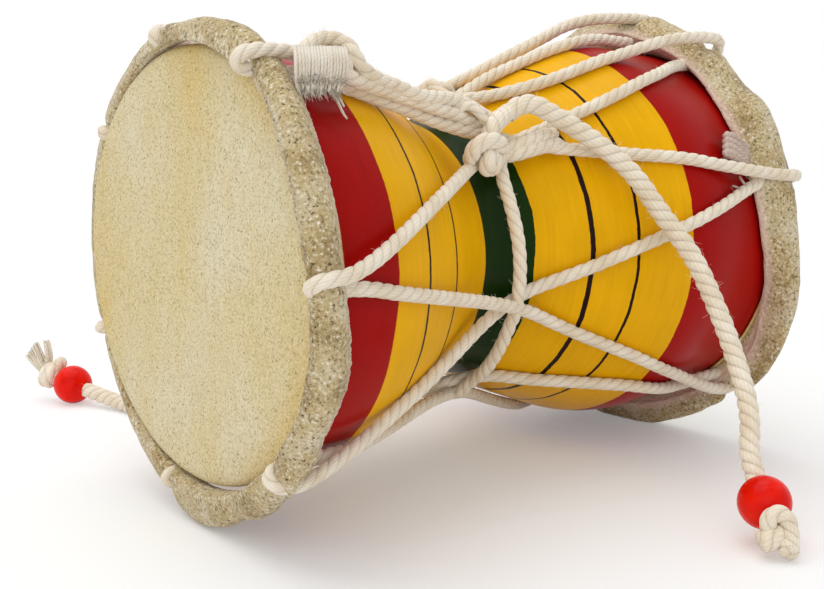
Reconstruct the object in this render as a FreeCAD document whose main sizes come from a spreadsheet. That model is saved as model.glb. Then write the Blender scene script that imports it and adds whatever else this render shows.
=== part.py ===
import FreeCAD, Part
import Sketcher
import math
import os

# Hourglass hand drum with two rope strikers, lying on its side.
#
# Lengths are in millimetres. The drum's axis runs along X, the near side is
# -Y, Z is up and Z = 0 is the surface that the drum lies on. X = 0 is the
# middle of the whole length, loops of rope included.
#
# A place on the drum is given by its distance along the axis from the waist
# (left head negative), its radius, and its angle, which goes up from the
# near side: 0 is near, 90 is the top and 180 is the far side.

# Driving sizes. Every one of these can be changed by itself.
SIZES = [
    ("left_cup_length", "79.3", "waist to the left wooden rim"),
    ("right_cup_length", "107.3", "waist to the right wooden rim"),
    ("waist_radius", "38.4", "outside of the wood at the waist"),
    ("left_rim_radius", "59.5", "outside of the wood at the left rim"),
    ("right_rim_radius", "61.0", "outside of the wood at the right rim"),
    ("rim_land", "9.3", "straight turned length beside each rim"),
    ("rim_wall", "7.0", "thickness of the wood at the rims"),
    ("waist_bore_radius", "13.0", "hole that joins the two cups"),
    ("rim_round", "1.0", "rounding of the wooden rims"),
    ("skin_thickness", "0.7", "dried hide of the heads"),
    ("skirt_length", "7.0", "how far each skin laps over its rim"),
    ("skin_round", "1.2", "rounding where a skin turns over its rim"),
    ("skirt_gap", "0.1", "gap between a skin's skirt and the wood"),
    ("hoop_wire_radius", "1.5", "wire of the hoops"),
    ("hoop_wire_gap", "0.05", "gap between the wire and its channel"),
    ("rope_radius", "2.0", "lacing rope"),
    ("rope_gap", "0.2", "gap between the rope and what it passes"),
    ("rope_seat", "0.1", "gap between the rope and the skirts"),
    ("turn_radius", "4.2", "rope's centre line round the hoop wire"),
    ("left_hoop_setback", "0.5", "wire behind the face of the left head"),
    ("left_hoop_lean", "4.5", "left hoop leans forward by this at the near side"),
    ("right_hoop_setback", "1.5", "wire behind the face of the right head"),
    ("right_hoop_lean", "1.0", "right hoop leans forward by this at the near side"),
    ("collar_front", "2.5", "collar in front of its wire"),
    ("collar_back", "11.5", "collar behind its wire"),
    ("left_collar_radius", "71.2", "outside of the left collar"),
    ("right_collar_radius", "72.6", "outside of the right collar"),
    ("collar_reach", "73.2", "lowest point of both collars below the axis"),
    ("collar_gap", "0.25", "gap between a collar and the skirt"),
    ("collar_round", "4.0", "rounding of the collars' outer corners"),
    ("floor_flat", "0.5", "depth of the flat that each collar rests on"),
    ("under_exit", "13.5", "rope runs straight this far behind the wire, inside"),
    ("over_exit", "9.0", "rope runs straight this far behind the wire, outside"),
    ("lay_gap", "0.3", "gap between the wood and a rope that lies on it"),
    ("lay_step", "5.0", "shortest stretch of rope between two bends on the wood"),
    ("lay_tangent", "3.0", "longest tangent of a bend on the wood"),
    ("crossing_shift", "2.0", "rope crossings lie this far right of the waist"),
    ("lower_crossing_radius", "40.2", "bend point of the lower rope at a crossing"),
    ("upper_crossing_radius", "45.2", "bend point of the upper rope at a crossing"),
    ("crossing_tangent", "9.0", "longest tangent of the bend at a crossing"),
    ("belt_radius", "51.95", "bend points of the waist binding"),
    ("belt_tangent", "6.0", "longest tangent of the waist binding's bends"),
    ("belt_end_gap", "4.0", "waist binding ends this far from the knot's middle"),
    ("knot_gap", "0.1", "gap between a knot and the ropes that it grips"),
    ("knot_rope_radius", "2.3", "rope of the waist knots, pulled flat"),
    ("front_turn_radius", "3.7", "turns of the front waist knot"),
    ("front_knot_radius", "48.8", "middle of the front waist knot from the axis"),
    ("knot_loop_radius", "3.7", "small rope loop beside the front waist knot"),
    ("knot_loop_height", "48.6", "middle of that loop from the axis"),
    ("knot_loop_shift", "4.3", "that loop lies left of the knot by this"),
    ("striker_radius", "2.9", "rope of the strikers"),
    ("root_gap", "0.3", "gap between a striker's root and its waist knot"),
    ("front_root_radius", "53.9", "front striker's root from the axis"),
    ("front_root_shift", "4.7", "front striker's root right of the waist"),
    ("back_root_radius", "54.5", "back striker's root from the axis"),
    ("back_root_shift", "2.0", "back striker's root right of the waist"),
    ("striker_span", "100.0", "length that the strikers' routes are shares of"),
    ("bead_radius", "7.3", "plastic beads"),
    ("bead_hole_gap", "0.08", "gap between a bead's hole and its rope"),
    ("bead_seam", "0.15", "depth of the seam round a bead's middle"),
    ("bead_straight", "23.0", "front rope runs straight this far behind the bead"),
    ("back_straight", "18.8", "back rope runs straight this far behind the bead"),
    ("back_bend", "4.0", "tangent of the bend where that straight run starts"),
    ("bead_knot_gap", "0.3", "gap between a bead and its knot"),
    ("end_knot_radius", "5.2", "strikers' end knots"),
    ("end_knot_rope", "2.5", "rope of the end knots, pulled tight"),
    ("end_knot_length", "9.2", "strikers' end knots along the rope"),
    ("rope_socket", "2.5", "rope runs this far into its end knot"),
    ("front_bead_height", "11.74", "middle of the front bead above the surface"),
    ("nub_radius", "3.5", "cut end of the front striker's rope"),
    ("nub_length", "8.5", "cut end from the middle of its knot"),
    ("tuft_radius", "3.4", "each lobe of the back striker's tuft"),
    ("tuft_length", "14.0", "back striker's tuft"),
    ("tuft_end", "0.9", "blunt ends of those lobes"),
    ("tassel_width", "12.0", "frayed fan at the lacing's end, where it is widest"),
    ("tassel_thickness", "3.2", "frayed fan, front to back"),
    ("tail_radius", "1.1", "strand of the tail beside the right collar"),
    ("overrun", "20.0", "how far cutting shapes run past what they cut"),
]

# Sizes that follow from the driving sizes.
FOLLOWING = [
    ("left_face", "left_cup_length + skin_thickness"),
    ("right_face", "right_cup_length + skin_thickness"),
    ("left_skirt_radius", "left_rim_radius + skirt_gap + skin_thickness"),
    ("right_skirt_radius", "right_rim_radius + skirt_gap + skin_thickness"),
    ("left_under_radius", "left_skirt_radius + rope_seat + rope_radius"),
    ("right_under_radius", "right_skirt_radius + rope_seat + rope_radius"),
    ("left_hoop_radius", "left_under_radius + turn_radius"),
    ("right_hoop_radius", "right_under_radius + turn_radius"),
    ("left_hoop_place", "left_face - left_hoop_setback"),
    ("right_hoop_place", "right_face - right_hoop_setback"),
    ("left_over_radius", "left_hoop_radius + turn_radius"),
    ("right_over_radius", "right_hoop_radius + turn_radius"),
    ("left_tilt", "asin(left_hoop_lean / left_hoop_radius)"),
    ("right_tilt", "asin(right_hoop_lean / right_hoop_radius)"),
    ("left_drop", "collar_reach - left_collar_radius"),
    ("right_drop", "collar_reach - right_collar_radius"),
    ("axis_height", "collar_reach - floor_flat"),
    ("left_end", "left_hoop_place + left_hoop_lean + turn_radius + rope_radius"),
    ("right_end", "right_hoop_place + right_hoop_lean + turn_radius + rope_radius"),
    ("waist_x", "(left_end - right_end) / 2"),
    ("left_body", "left_cup_length - rim_land"),
    ("right_body", "right_cup_length - rim_land"),
    ("left_swell", "left_rim_radius - waist_radius"),
    ("right_swell", "right_rim_radius - waist_radius"),
    ("left_mouth", "left_rim_radius - rim_wall"),
    ("right_mouth", "right_rim_radius - rim_wall"),
    ("bead_hole", "striker_radius + bead_hole_gap"),
]

# Outside of the wood: (share of the cup's curved length, share of the swell
# from the waist to the rim) for each pole of the turned curve.
LEFT_OUTSIDE_SHARES = [(1.0, 1.0), (0.886, 0.975), (0.686, 0.891), (0.371, 0.493), (0.129, -0.047)]
RIGHT_OUTSIDE_SHARES = [(0.071, 0.009), (0.265, 0.496), (0.469, 0.797), (0.673, 1.19), (0.857, 1.045), (1.0, 1.0)]

# Inside of the cups: (share of the cup's length, share of the way from the
# waist's hole to the mouth).
LEFT_INSIDE_SHARES = [(1.0, 1.0), (0.73, 0.99), (0.504, 0.84), (0.277, 0.33), (0.126, 0.0)]
RIGHT_INSIDE_SHARES = [(0.112, 0.0), (0.224, 0.41), (0.373, 0.8), (0.559, 0.98), (0.783, 1.03), (1.0, 1.0)]

# Angles of the seven rope loops on each hoop and of the seven crossings at
# the waist, in degrees. The lacing is uneven, as a hand-laced one is.
LEFT_LOOP_ANGLES = [108, 56.5, 5, -46, -98, -149, -201]
RIGHT_LOOP_ANGLES = [110, 64, 18, -50, -112, -160, -202]
CROSSING_ANGLES = [84, 47, -17, -70, -123, -174, -226]
FRONT_KNOT_ANGLE = 47
FRONT_LOOP_ANGLE = 41
FRONT_ROOT_ANGLE = 50
BACK_KNOT_SHARE = 0.37
BACK_ROOT_ANGLE = -140

# How much of the shorter run beside a bend its tangent takes.
BEND_SHARE = 0.45
TURN_SHARE = 0.48

doc = FreeCAD.newDocument("hourglass_drum")
sheet = doc.addObject("Spreadsheet::Sheet", "sizes")


def fill_sheet():
    """Write the driving sizes and the sizes that follow from them."""
    sheet.set("A1", "size")
    sheet.set("B1", "mm")
    sheet.set("C1", "what it is")
    row = 2
    for name, value, note in SIZES:
        sheet.set("A%d" % row, name)
        sheet.set("B%d" % row, value)
        sheet.setAlias("B%d" % row, name)
        sheet.set("C%d" % row, note)
        row += 1
    doc.recompute()
    for name, formula in FOLLOWING:
        sheet.set("A%d" % row, name)
        sheet.set("B%d" % row, "=" + formula)
        sheet.setAlias("B%d" % row, name)
        doc.recompute()
        row += 1


fill_sheet()
size = {}
for entry in SIZES:
    size[entry[0]] = float(sheet.get(entry[0]))
for entry in FOLLOWING:
    worth = sheet.get(entry[0])
    size[entry[0]] = float(getattr(worth, "Value", worth))


def cell(name):
    """The expression that reads one size from the sheet."""
    return "sizes." + name


def value_of(expression):
    """What an expression is worth now."""
    worth = sheet.evalExpression(expression)
    return float(getattr(worth, "Value", worth))


def bind(thing, **rules):
    """Tie properties of an object to expressions."""
    for name, expression in rules.items():
        thing.setExpression(name.replace("__", "."), expression)


# Places and directions

def place(along, radius, angle):
    """A point from its distance along the axis, its radius and its angle."""
    turn = math.radians(angle)
    return FreeCAD.Vector(
        size["waist_x"] + along,
        -radius * math.cos(turn),
        size["axis_height"] + radius * math.sin(turn),
    )


def outward(angle):
    """The direction straight out from the drum's axis at an angle."""
    turn = math.radians(angle)
    return FreeCAD.Vector(0, -math.cos(turn), math.sin(turn))


def along_of(point):
    """How far a point lies from the waist along the axis."""
    return point.x - size["waist_x"]


def radius_of(point):
    """How far a point lies from the axis."""
    return math.hypot(point.y, point.z - size["axis_height"])


def outside_poles():
    """Poles of the wood's outside between the two straight lands."""
    poles = []
    for along, out in LEFT_OUTSIDE_SHARES:
        poles.append(("-sizes.left_body * %s" % along,
                      "sizes.waist_radius + sizes.left_swell * %s" % out))
    for along, out in RIGHT_OUTSIDE_SHARES:
        poles.append(("sizes.right_body * %s" % along,
                      "sizes.waist_radius + sizes.right_swell * %s" % out))
    return poles


def inside_poles(shares, sign, cup_length, mouth):
    """Poles of the hollow of one cup."""
    poles = []
    for along, out in shares:
        poles.append(("%ssizes.%s * %s" % (sign, cup_length, along),
                      "sizes.waist_bore_radius + (sizes.%s - sizes.waist_bore_radius) * %s" % (mouth, out)))
    return poles


def numbers(pairs):
    """Pairs of expressions as points of a sketch."""
    return [FreeCAD.Vector(value_of(a), value_of(b), 0) for a, b in pairs]


def wood_table():
    """Points of the wood's outside, for laying rope on it."""
    curve = Part.BSplineCurve()
    curve.buildFromPoles(numbers(outside_poles()), False, 3)
    points = curve.discretize(200)
    return [(point.x, point.y) for point in points]


WOOD = wood_table()


def wood_radius(along):
    """Radius of the wood's outside at a distance from the waist."""
    if along <= WOOD[0][0]:
        return size["left_rim_radius"]
    for before, after in zip(WOOD, WOOD[1:]):
        if along <= after[0]:
            part = (along - before[0]) / (after[0] - before[0])
            return before[1] + part * (after[1] - before[1])
    return size["right_rim_radius"]


# Rope: straight runs joined by tangent arcs

def bend(before, corner, after, share, longest):
    """The arc that rounds one corner of a route, as its three points."""
    back = before - corner
    ahead = after - corner
    turn = math.pi - back.getAngle(ahead)
    tangent = share * min(back.Length, ahead.Length)
    if longest is not None:
        tangent = min(tangent, longest)
    radius = tangent / math.tan(turn / 2)
    back.normalize()
    ahead.normalize()
    start = corner + back * tangent
    end = corner + ahead * tangent
    middle_line = back + ahead
    middle_line.normalize()
    middle = corner + middle_line * (radius / math.cos(turn / 2) - radius)
    return start, middle, end, radius


def rounded_wire(route):
    """A wire through a route; each stop is (point, share, longest tangent)."""
    edges = []
    last = route[0][0]
    radii = []
    for number in range(1, len(route) - 1):
        point, share, longest = route[number]
        start, middle, end, radius = bend(route[number - 1][0], point, route[number + 1][0], share, longest)
        edges.append(Part.LineSegment(last, start).toShape())
        edges.append(Part.Arc(start, middle, end).toShape())
        radii.append(radius)
        last = end
    edges.append(Part.LineSegment(last, route[-1][0]).toShape())
    return Part.Wire(edges), radii


def tube(route, radius):
    """A round rope along a route."""
    wire, radii = rounded_wire(route)
    direction = route[1][0] - route[0][0]
    ring = Part.Wire(Part.makeCircle(radius, route[0][0], direction))
    solid = wire.makePipeShell([ring], True, False)
    if solid.ShapeType != "Solid":
        solid = Part.Solid(solid)
    if solid.Volume < 0:
        solid.reverse()
    return solid, wire, radii


def plain(points):
    """Stops of a route that all bend alike."""
    return [(point, BEND_SHARE, None) for point in points]


def report_rope(name, solid, wire, radii, radius):
    """Print a rope's length, its tightest bend and how true its volume is."""
    expected = wire.Length * math.pi * radius * radius
    print("%s: length %.1f, tightest bend %.1f, volume share %.4f"
          % (name, wire.Length, min(radii), solid.Volume / expected))


def add_shape(name, shape):
    """A sub-part whose shape is worked out from the sheet's sizes."""
    thing = doc.addObject("Part::Feature", name)
    thing.Label = name
    thing.Shape = shape
    thing.Placement = FreeCAD.Placement()
    return thing


# Route of the lacing

def wire_along(side, angle):
    """Where a hoop's wire lies along the drum at an angle."""
    near = math.cos(math.radians(angle))
    if side == "left":
        return -size["left_hoop_place"] - size["left_hoop_lean"] * near
    return size["right_hoop_place"] + size["right_hoop_lean"] * near


def inward(side):
    """Sign of the way from a head to the waist."""
    return 1 if side == "left" else -1


def under_stops(side, angle):
    """Where the rope comes out below the wire and runs on under the collar."""
    wire_place = wire_along(side, angle)
    radius = size[side + "_under_radius"]
    front = place(wire_place - inward(side) * size["turn_radius"], radius, angle)
    back = place(wire_place + inward(side) * size["under_exit"], radius, angle)
    return [(front, TURN_SHARE, None), (back, BEND_SHARE, size["lay_tangent"])]


def over_stops(side, angle):
    """Where the rope leaves the collar's back, crosses it and turns down."""
    wire_place = wire_along(side, angle)
    radius = size[side + "_over_radius"]
    back = place(wire_place + inward(side) * size["over_exit"], radius, angle)
    front = place(wire_place - inward(side) * size["turn_radius"], radius, angle)
    return [(back, BEND_SHARE, None), (front, TURN_SHARE, None)]


def crossing(number, level):
    """The bend point of the upper or lower rope at a waist crossing."""
    return place(size["crossing_shift"], size[level + "_crossing_radius"], CROSSING_ANGLES[number % 7])


def lay(start, end):
    """Points that keep a straight run of rope off the wood between two ends."""
    run = end - start
    worst = 0
    worst_point = None
    steps = 60
    for step in range(1, steps):
        point = start + run * (step / steps)
        before = (point - start).Length
        after = (end - point).Length
        if min(before, after) < 2 * size["lay_step"]:
            continue
        need = wood_radius(along_of(point)) + size["rope_radius"] + size["lay_gap"]
        lack = need - radius_of(point)
        if lack > worst:
            worst = lack
            worst_point = point
    if worst_point is None:
        return []
    lifted = worst + size["lay_gap"]
    out = FreeCAD.Vector(0, worst_point.y, worst_point.z - size["axis_height"])
    out.normalize()
    raised = worst_point + out * lifted
    return lay(start, raised) + [raised] + lay(raised, end)


def leg(start, end):
    """Stops of the rope's way over the wood between two bends."""
    return [(point, BEND_SHARE, size["lay_tangent"]) for point in lay(start, end)]


def lacing_route():
    """The whole lacing, from the end knot round every loop and back to it."""
    side = "left"
    first_over = over_stops("left", LEFT_LOOP_ANGLES[1])
    last_crossing = crossing(0, "lower")
    meeting = first_over[0][0] + (last_crossing - first_over[0][0]) * LACING_END_SHARE
    route = [(meeting, BEND_SHARE, None)]
    route.append(first_over[0])
    route.append(first_over[1])
    route.extend(under_stops("left", LEFT_LOOP_ANGLES[1]))
    number = 1
    for round_number in range(14):
        level = "upper" if side == "left" else "lower"
        bend_point = crossing(number, level)
        other = "right" if side == "left" else "left"
        angles = RIGHT_LOOP_ANGLES if other == "right" else LEFT_LOOP_ANGLES
        landing = over_stops(other, angles[(number + 1) % 7])
        route.extend(leg(route[-1][0], bend_point))
        route.append((bend_point, BEND_SHARE, size["crossing_tangent"]))
        if round_number == 13:
            break
        route.extend(leg(bend_point, landing[0][0]))
        route.extend(landing)
        route.extend(under_stops(other, angles[(number + 1) % 7]))
        side = other
        number += 1
    route.extend(leg(route[-1][0], meeting))
    route.append((meeting + (last_crossing - meeting) * LACING_BUTT_SHARE, BEND_SHARE, None))
    return route


# The lacing's two ends meet under the end knot, this share of the way from
# the collar to the crossing, and leave a hair between them.
LACING_END_SHARE = 0.15
LACING_BUTT_SHARE = 0.006


def near_stops(route, middle, reach):
    """The stretch of a route that lies within reach of a point."""
    chosen = []
    for number, stop in enumerate(route):
        if (stop[0] - middle).Length < reach:
            chosen.append(number)
    first = max(min(chosen) - 1, 0)
    last = min(max(chosen) + 1, len(route) - 1)
    return route[first:last + 1]


def stretches_near(route, middle, reach):
    """Each unbroken stretch of a route that passes within reach of a point."""
    groups = []
    group = []
    for number in range(len(route)):
        if (route[number][0] - middle).Length < reach:
            group.append(number)
        elif group:
            groups.append(group)
            group = []
    if group:
        groups.append(group)
    found = []
    for group in groups:
        first = max(group[0] - 1, 0)
        last = min(group[-1] + 1, len(route) - 1)
        found.append(route[first:last + 1])
    return found


# Turned pieces: shell, head skins, collars, beads

def add_constraint(sketch, kind, first, spot, expression):
    """One distance of a sketch, tied to an expression."""
    constraint = Sketcher.Constraint(kind, -1, 1, first, spot, value_of(expression))
    number = sketch.addConstraint(constraint)
    sketch.setExpression("Constraints[%d]" % number, expression)


def new_sketch(body, name):
    """A sketch on the XY plane of its own body."""
    sketch = body.newObject("Sketcher::SketchObject", name)
    for plane in body.Origin.OriginFeatures:
        if plane.Role == "XY_Plane":
            sketch.AttachmentSupport = [(plane, "")]
    sketch.MapMode = "FlatFace"
    return sketch


def add_curve(sketch, pairs):
    """A turned curve whose poles are tied to expressions."""
    points = numbers(pairs)
    curve = Part.BSplineCurve()
    curve.buildFromPoles(points, False, 3)
    number = sketch.addGeometry(curve, False)
    sketch.exposeInternalGeometry(number)
    for place_number, pair in enumerate(pairs):
        add_constraint(sketch, "DistanceX", number + 1 + place_number, 3, pair[0])
        add_constraint(sketch, "DistanceY", number + 1 + place_number, 3, pair[1])
    return number


def add_lines(sketch, pairs, closed):
    """Straight lines through corners that are tied to expressions."""
    points = numbers(pairs)
    count = len(points) if closed else len(points) - 1
    lines = []
    for number in range(count):
        line = Part.LineSegment(points[number], points[(number + 1) % len(points)])
        lines.append(sketch.addGeometry(line, False))
    for number in range(count - 1):
        sketch.addConstraint(Sketcher.Constraint("Coincident", lines[number], 2, lines[number + 1], 1))
    if closed:
        sketch.addConstraint(Sketcher.Constraint("Coincident", lines[-1], 2, lines[0], 1))
    first = 0 if closed else 1
    for number in range(first, count):
        add_constraint(sketch, "DistanceX", lines[number], 1, pairs[number][0])
        add_constraint(sketch, "DistanceY", lines[number], 1, pairs[number][1])
    return lines


def revolve(body, sketch, name):
    """Turn a sketch round the drum's axis."""
    turned = body.newObject("PartDesign::Revolution", name)
    turned.Profile = sketch
    turned.ReferenceAxis = (sketch, ["H_Axis"])
    turned.Angle = 360
    doc.recompute()
    return turned


def ring_edges(feature, along, radius):
    """Names of the round edges at a place and radius of a turned piece."""
    found = []
    for number, edge in enumerate(feature.Shape.Edges):
        curve = edge.Curve
        if curve.TypeId != "Part::GeomCircle":
            continue
        off = abs(curve.Center.x - along) + abs(curve.Radius - radius)
        if off < EDGE_MATCH_SHARE * radius:
            found.append("Edge%d" % (number + 1))
    return found


# How close an edge has to be to the place asked for, as a share of its radius.
EDGE_MATCH_SHARE = 0.0001


def round_edges(body, base, edges, name, expression):
    """Round edges of a turned piece."""
    fillet = body.newObject("PartDesign::Fillet", name)
    fillet.Base = (base, edges)
    fillet.Radius = value_of(expression)
    fillet.setExpression("Radius", expression)
    body.Tip = fillet
    doc.recompute()
    return fillet


def stand(thing):
    """Put a piece that is drawn about the waist in its place."""
    bind(thing, Placement__Base__x=cell("waist_x"), Placement__Base__z=cell("axis_height"))


def make_shell():
    """The turned wooden shell: two cups joined by a hole at the waist."""
    body = doc.addObject("PartDesign::Body", "shell")
    body.Label = "shell"
    sketch = new_sketch(body, "shell_profile")
    outside = add_curve(sketch, outside_poles())
    right_inside = add_curve(sketch, inside_poles(RIGHT_INSIDE_SHARES, "", "right_cup_length", "right_mouth"))
    left_inside = add_curve(sketch, inside_poles(LEFT_INSIDE_SHARES, "-", "left_cup_length", "left_mouth"))
    right_rim = add_lines(sketch, [
        ("sizes.right_body", "sizes.right_rim_radius"),
        ("sizes.right_cup_length", "sizes.right_rim_radius"),
        ("sizes.right_cup_length", "sizes.right_mouth"),
    ], False)
    left_rim = add_lines(sketch, [
        ("-sizes.left_cup_length", "sizes.left_mouth"),
        ("-sizes.left_cup_length", "sizes.left_rim_radius"),
        ("-sizes.left_body", "sizes.left_rim_radius"),
    ], False)
    hole = sketch.addGeometry(Part.LineSegment(
        numbers(inside_poles(RIGHT_INSIDE_SHARES, "", "right_cup_length", "right_mouth"))[0],
        numbers(inside_poles(LEFT_INSIDE_SHARES, "-", "left_cup_length", "left_mouth"))[-1]), False)
    join = [(outside, 2, right_rim[0], 1), (right_rim[-1], 2, right_inside, 2), (right_inside, 1, hole, 1),
            (hole, 2, left_inside, 2), (left_inside, 1, left_rim[0], 1), (left_rim[-1], 2, outside, 1)]
    for first, first_end, second, second_end in join:
        sketch.addConstraint(Sketcher.Constraint("Coincident", first, first_end, second, second_end))
    doc.recompute()
    turned = revolve(body, sketch, "shell_turned")
    rims = ring_edges(turned, -size["left_cup_length"], size["left_rim_radius"])
    rims += ring_edges(turned, size["right_cup_length"], size["right_rim_radius"])
    round_edges(body, turned, rims, "shell_rims", cell("rim_round"))
    stand(body)
    return body


def make_skin(side, sign):
    """A head skin: a thin disc lapped over the rim."""
    name = "head_skin_" + side
    body = doc.addObject("PartDesign::Body", name)
    body.Label = name
    sketch = new_sketch(body, name + "_profile")
    face = "%ssizes.%s_face" % (sign, side)
    rim = "%ssizes.%s_cup_length" % (sign, side)
    lap = "%s(sizes.%s_cup_length - sizes.skirt_length)" % (sign, side)
    outer = "sizes.%s_skirt_radius" % side
    inner = "sizes.%s_rim_radius + sizes.skirt_gap" % side
    add_lines(sketch, [(face, "0 * sizes.skin_thickness"), (face, outer), (lap, outer), (lap, inner),
                       (rim, inner), (rim, "0 * sizes.skin_thickness")], True)
    doc.recompute()
    turned = revolve(body, sketch, name + "_turned")
    corner = ring_edges(turned, value_of(face), size[side + "_skirt_radius"])
    round_edges(body, turned, corner, name + "_round", cell("skin_round"))
    stand(body)
    return body


def make_hoop(side, sign, axis):
    """A wire hoop, leaning a little."""
    name = "hoop_" + side
    hoop = doc.addObject("Part::Torus", name)
    hoop.Label = name
    bind(hoop, Radius1=cell(side + "_hoop_radius"), Radius2=cell("hoop_wire_radius"))
    tilt_to_axis(hoop, axis, side)
    bind(hoop, Placement__Base__x="sizes.waist_x %s sizes.%s_hoop_place" % (sign, side),
         Placement__Base__z=cell("axis_height"))
    return hoop


def tilt_to_axis(thing, axis, side):
    """Turn a ring's axis from Z to the drum's axis, then lean it."""
    upright = FreeCAD.Rotation(FreeCAD.Vector(0, 1, 0), 90)
    lean = FreeCAD.Rotation(axis, size[side + "_tilt"])
    thing.Placement = FreeCAD.Placement(FreeCAD.Vector(0, 0, 0), lean.multiply(upright))


def make_collar(side, sign, axis, loops):
    """A rawhide collar folded over its hoop, bitten by the rope's loops."""
    name = "collar_" + side
    radius = "sizes.%s_collar_radius" % side
    body = doc.addObject("PartDesign::Body", name + "_roll")
    sketch = new_sketch(body, name + "_profile")
    head = "%ssizes.collar_front" % sign
    tail = "-%ssizes.collar_back" % sign if sign == "" else "sizes.collar_back"
    add_lines(sketch, [(head, "0 * sizes.collar_back"), (head, radius), (tail, radius),
                       (tail, "0 * sizes.collar_back")], True)
    doc.recompute()
    turned = revolve(body, sketch, name + "_turned")
    corners = ring_edges(turned, value_of(head), size[side + "_collar_radius"])
    corners += ring_edges(turned, value_of(tail), size[side + "_collar_radius"])
    round_edges(body, turned, corners, name + "_round", cell("collar_round"))
    lean = FreeCAD.Rotation(axis, size[side + "_tilt"])
    body.Placement = FreeCAD.Placement(FreeCAD.Vector(0, 0, 0), lean)
    where = "sizes.waist_x %s sizes.%s_hoop_place" % ("-" if side == "left" else "+", side)
    bind(body, Placement__Base__x=where, Placement__Base__z="sizes.axis_height - sizes.%s_drop" % side)

    bore = doc.addObject("Part::Cylinder", name + "_bore")
    bind(bore, Radius="sizes.%s_skirt_radius + sizes.collar_gap" % side,
         Height="sizes.collar_front + sizes.collar_back + 2 * sizes.overrun")
    bore.Placement = FreeCAD.Placement(FreeCAD.Vector(0, 0, 0), FreeCAD.Rotation(FreeCAD.Vector(0, 1, 0), 90))
    bind(bore, Placement__Base__x=where + " - sizes.collar_back - sizes.overrun",
         Placement__Base__z=cell("axis_height"))
    opened = cut(name + "_opened", body, bore)

    channel = doc.addObject("Part::Torus", name + "_channel")
    bind(channel, Radius1="sizes.%s_hoop_radius" % side, Radius2="sizes.hoop_wire_radius + sizes.hoop_wire_gap")
    tilt_to_axis(channel, axis, side)
    bind(channel, Placement__Base__x=where, Placement__Base__z=cell("axis_height"))
    channelled = cut(name + "_channelled", opened, channel)

    floor = doc.addObject("Part::Box", name + "_floor")
    bind(floor, Length="sizes.collar_front + sizes.collar_back + 2 * sizes.overrun",
         Width="2 * sizes.collar_reach", Height=cell("overrun"))
    bind(floor, Placement__Base__x=where + " - sizes.collar_back - sizes.overrun",
         Placement__Base__y="-sizes.collar_reach", Placement__Base__z="-sizes.overrun")
    flat = cut(name + "_flat", channelled, floor)

    last = flat
    for number, stops in enumerate(loops):
        solid, wire, radii = tube(stops, size["rope_radius"] + size["rope_gap"])
        way = doc.addObject("Part::Feature", "%s_rope_way_%d" % (name, number + 1))
        way.Shape = solid
        last = cut("%s_bitten_%d" % (name, number + 1), last, way)
    last.Label = name
    return last


def cut(name, base, tool):
    """One piece less another."""
    result = doc.addObject("Part::Cut", name)
    result.Base = base
    result.Tool = tool
    doc.recompute()
    return result


def fuse(name, first, second):
    """Two shapes made one."""
    result = doc.addObject("Part::Fuse", name)
    result.Base = first
    result.Tool = second
    doc.recompute()
    return result


def aim(thing, middle, direction, side_direction):
    """Place a shape with its Z along a direction and its X near another."""
    up = FreeCAD.Vector(direction)
    up.normalize()
    across = side_direction - up * side_direction.dot(up)
    across.normalize()
    third = up.cross(across)
    turn = FreeCAD.Rotation(across, third, up, "ZXY")
    thing.Placement = FreeCAD.Placement(middle, turn)


def loop_stops(route, side, angle):
    """The stretch of the lacing that goes through one collar at an angle."""
    middle = place(wire_along(side, angle), size[side + "_hoop_radius"], angle)
    return near_stops(route, middle, size["under_exit"] + size["turn_radius"])


def make_turn(name, major, minor, middle, axis, side_direction):
    """One turn of rope pulled into a ring, as part of a knot."""
    ring = doc.addObject("Part::Torus", name)
    bind(ring, Radius1=major, Radius2=minor)
    aim(ring, middle, axis, side_direction)
    return ring


def leaning(axis, towards, angle):
    """A direction leant from an axis towards another by an angle."""
    turn = math.radians(angle)
    return axis * math.cos(turn) + towards * math.sin(turn)


def carve(name, base, solids):
    """Take a list of plain shapes away from a piece, one after another."""
    last = base
    for number, solid in enumerate(solids):
        tool = doc.addObject("Part::Feature", "%s_way_%d" % (name, number + 1))
        tool.Shape = solid
        last = cut("%s_carved_%d" % (name, number + 1), last, tool)
    last.Label = name
    return last


# Waist binding and knots

def belt_route():
    """The waist binding, from one side of the front knot round to the other."""
    corners = []
    for number in range(1, 8):
        angle = CROSSING_ANGLES[number % 7]
        corners.append(place(size["crossing_shift"], size["belt_radius"], angle))
    knot = corners[0]
    away = corners[1] - knot
    back = corners[-1] - knot
    away.normalize()
    back.normalize()
    route = [(knot + away * size["belt_end_gap"], BEND_SHARE, None)]
    for corner in corners[1:]:
        route.append((corner, BEND_SHARE, size["belt_tangent"]))
    route.append((knot + back * size["belt_end_gap"], BEND_SHARE, None))
    return route


def rope_ways(route, middle, reach, radius):
    """The solids that clear a knot of the rope that passes through it."""
    solids = []
    for stops in stretches_near(route, middle, reach):
        solids.append(tube(stops, radius)[0])
    return solids


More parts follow.
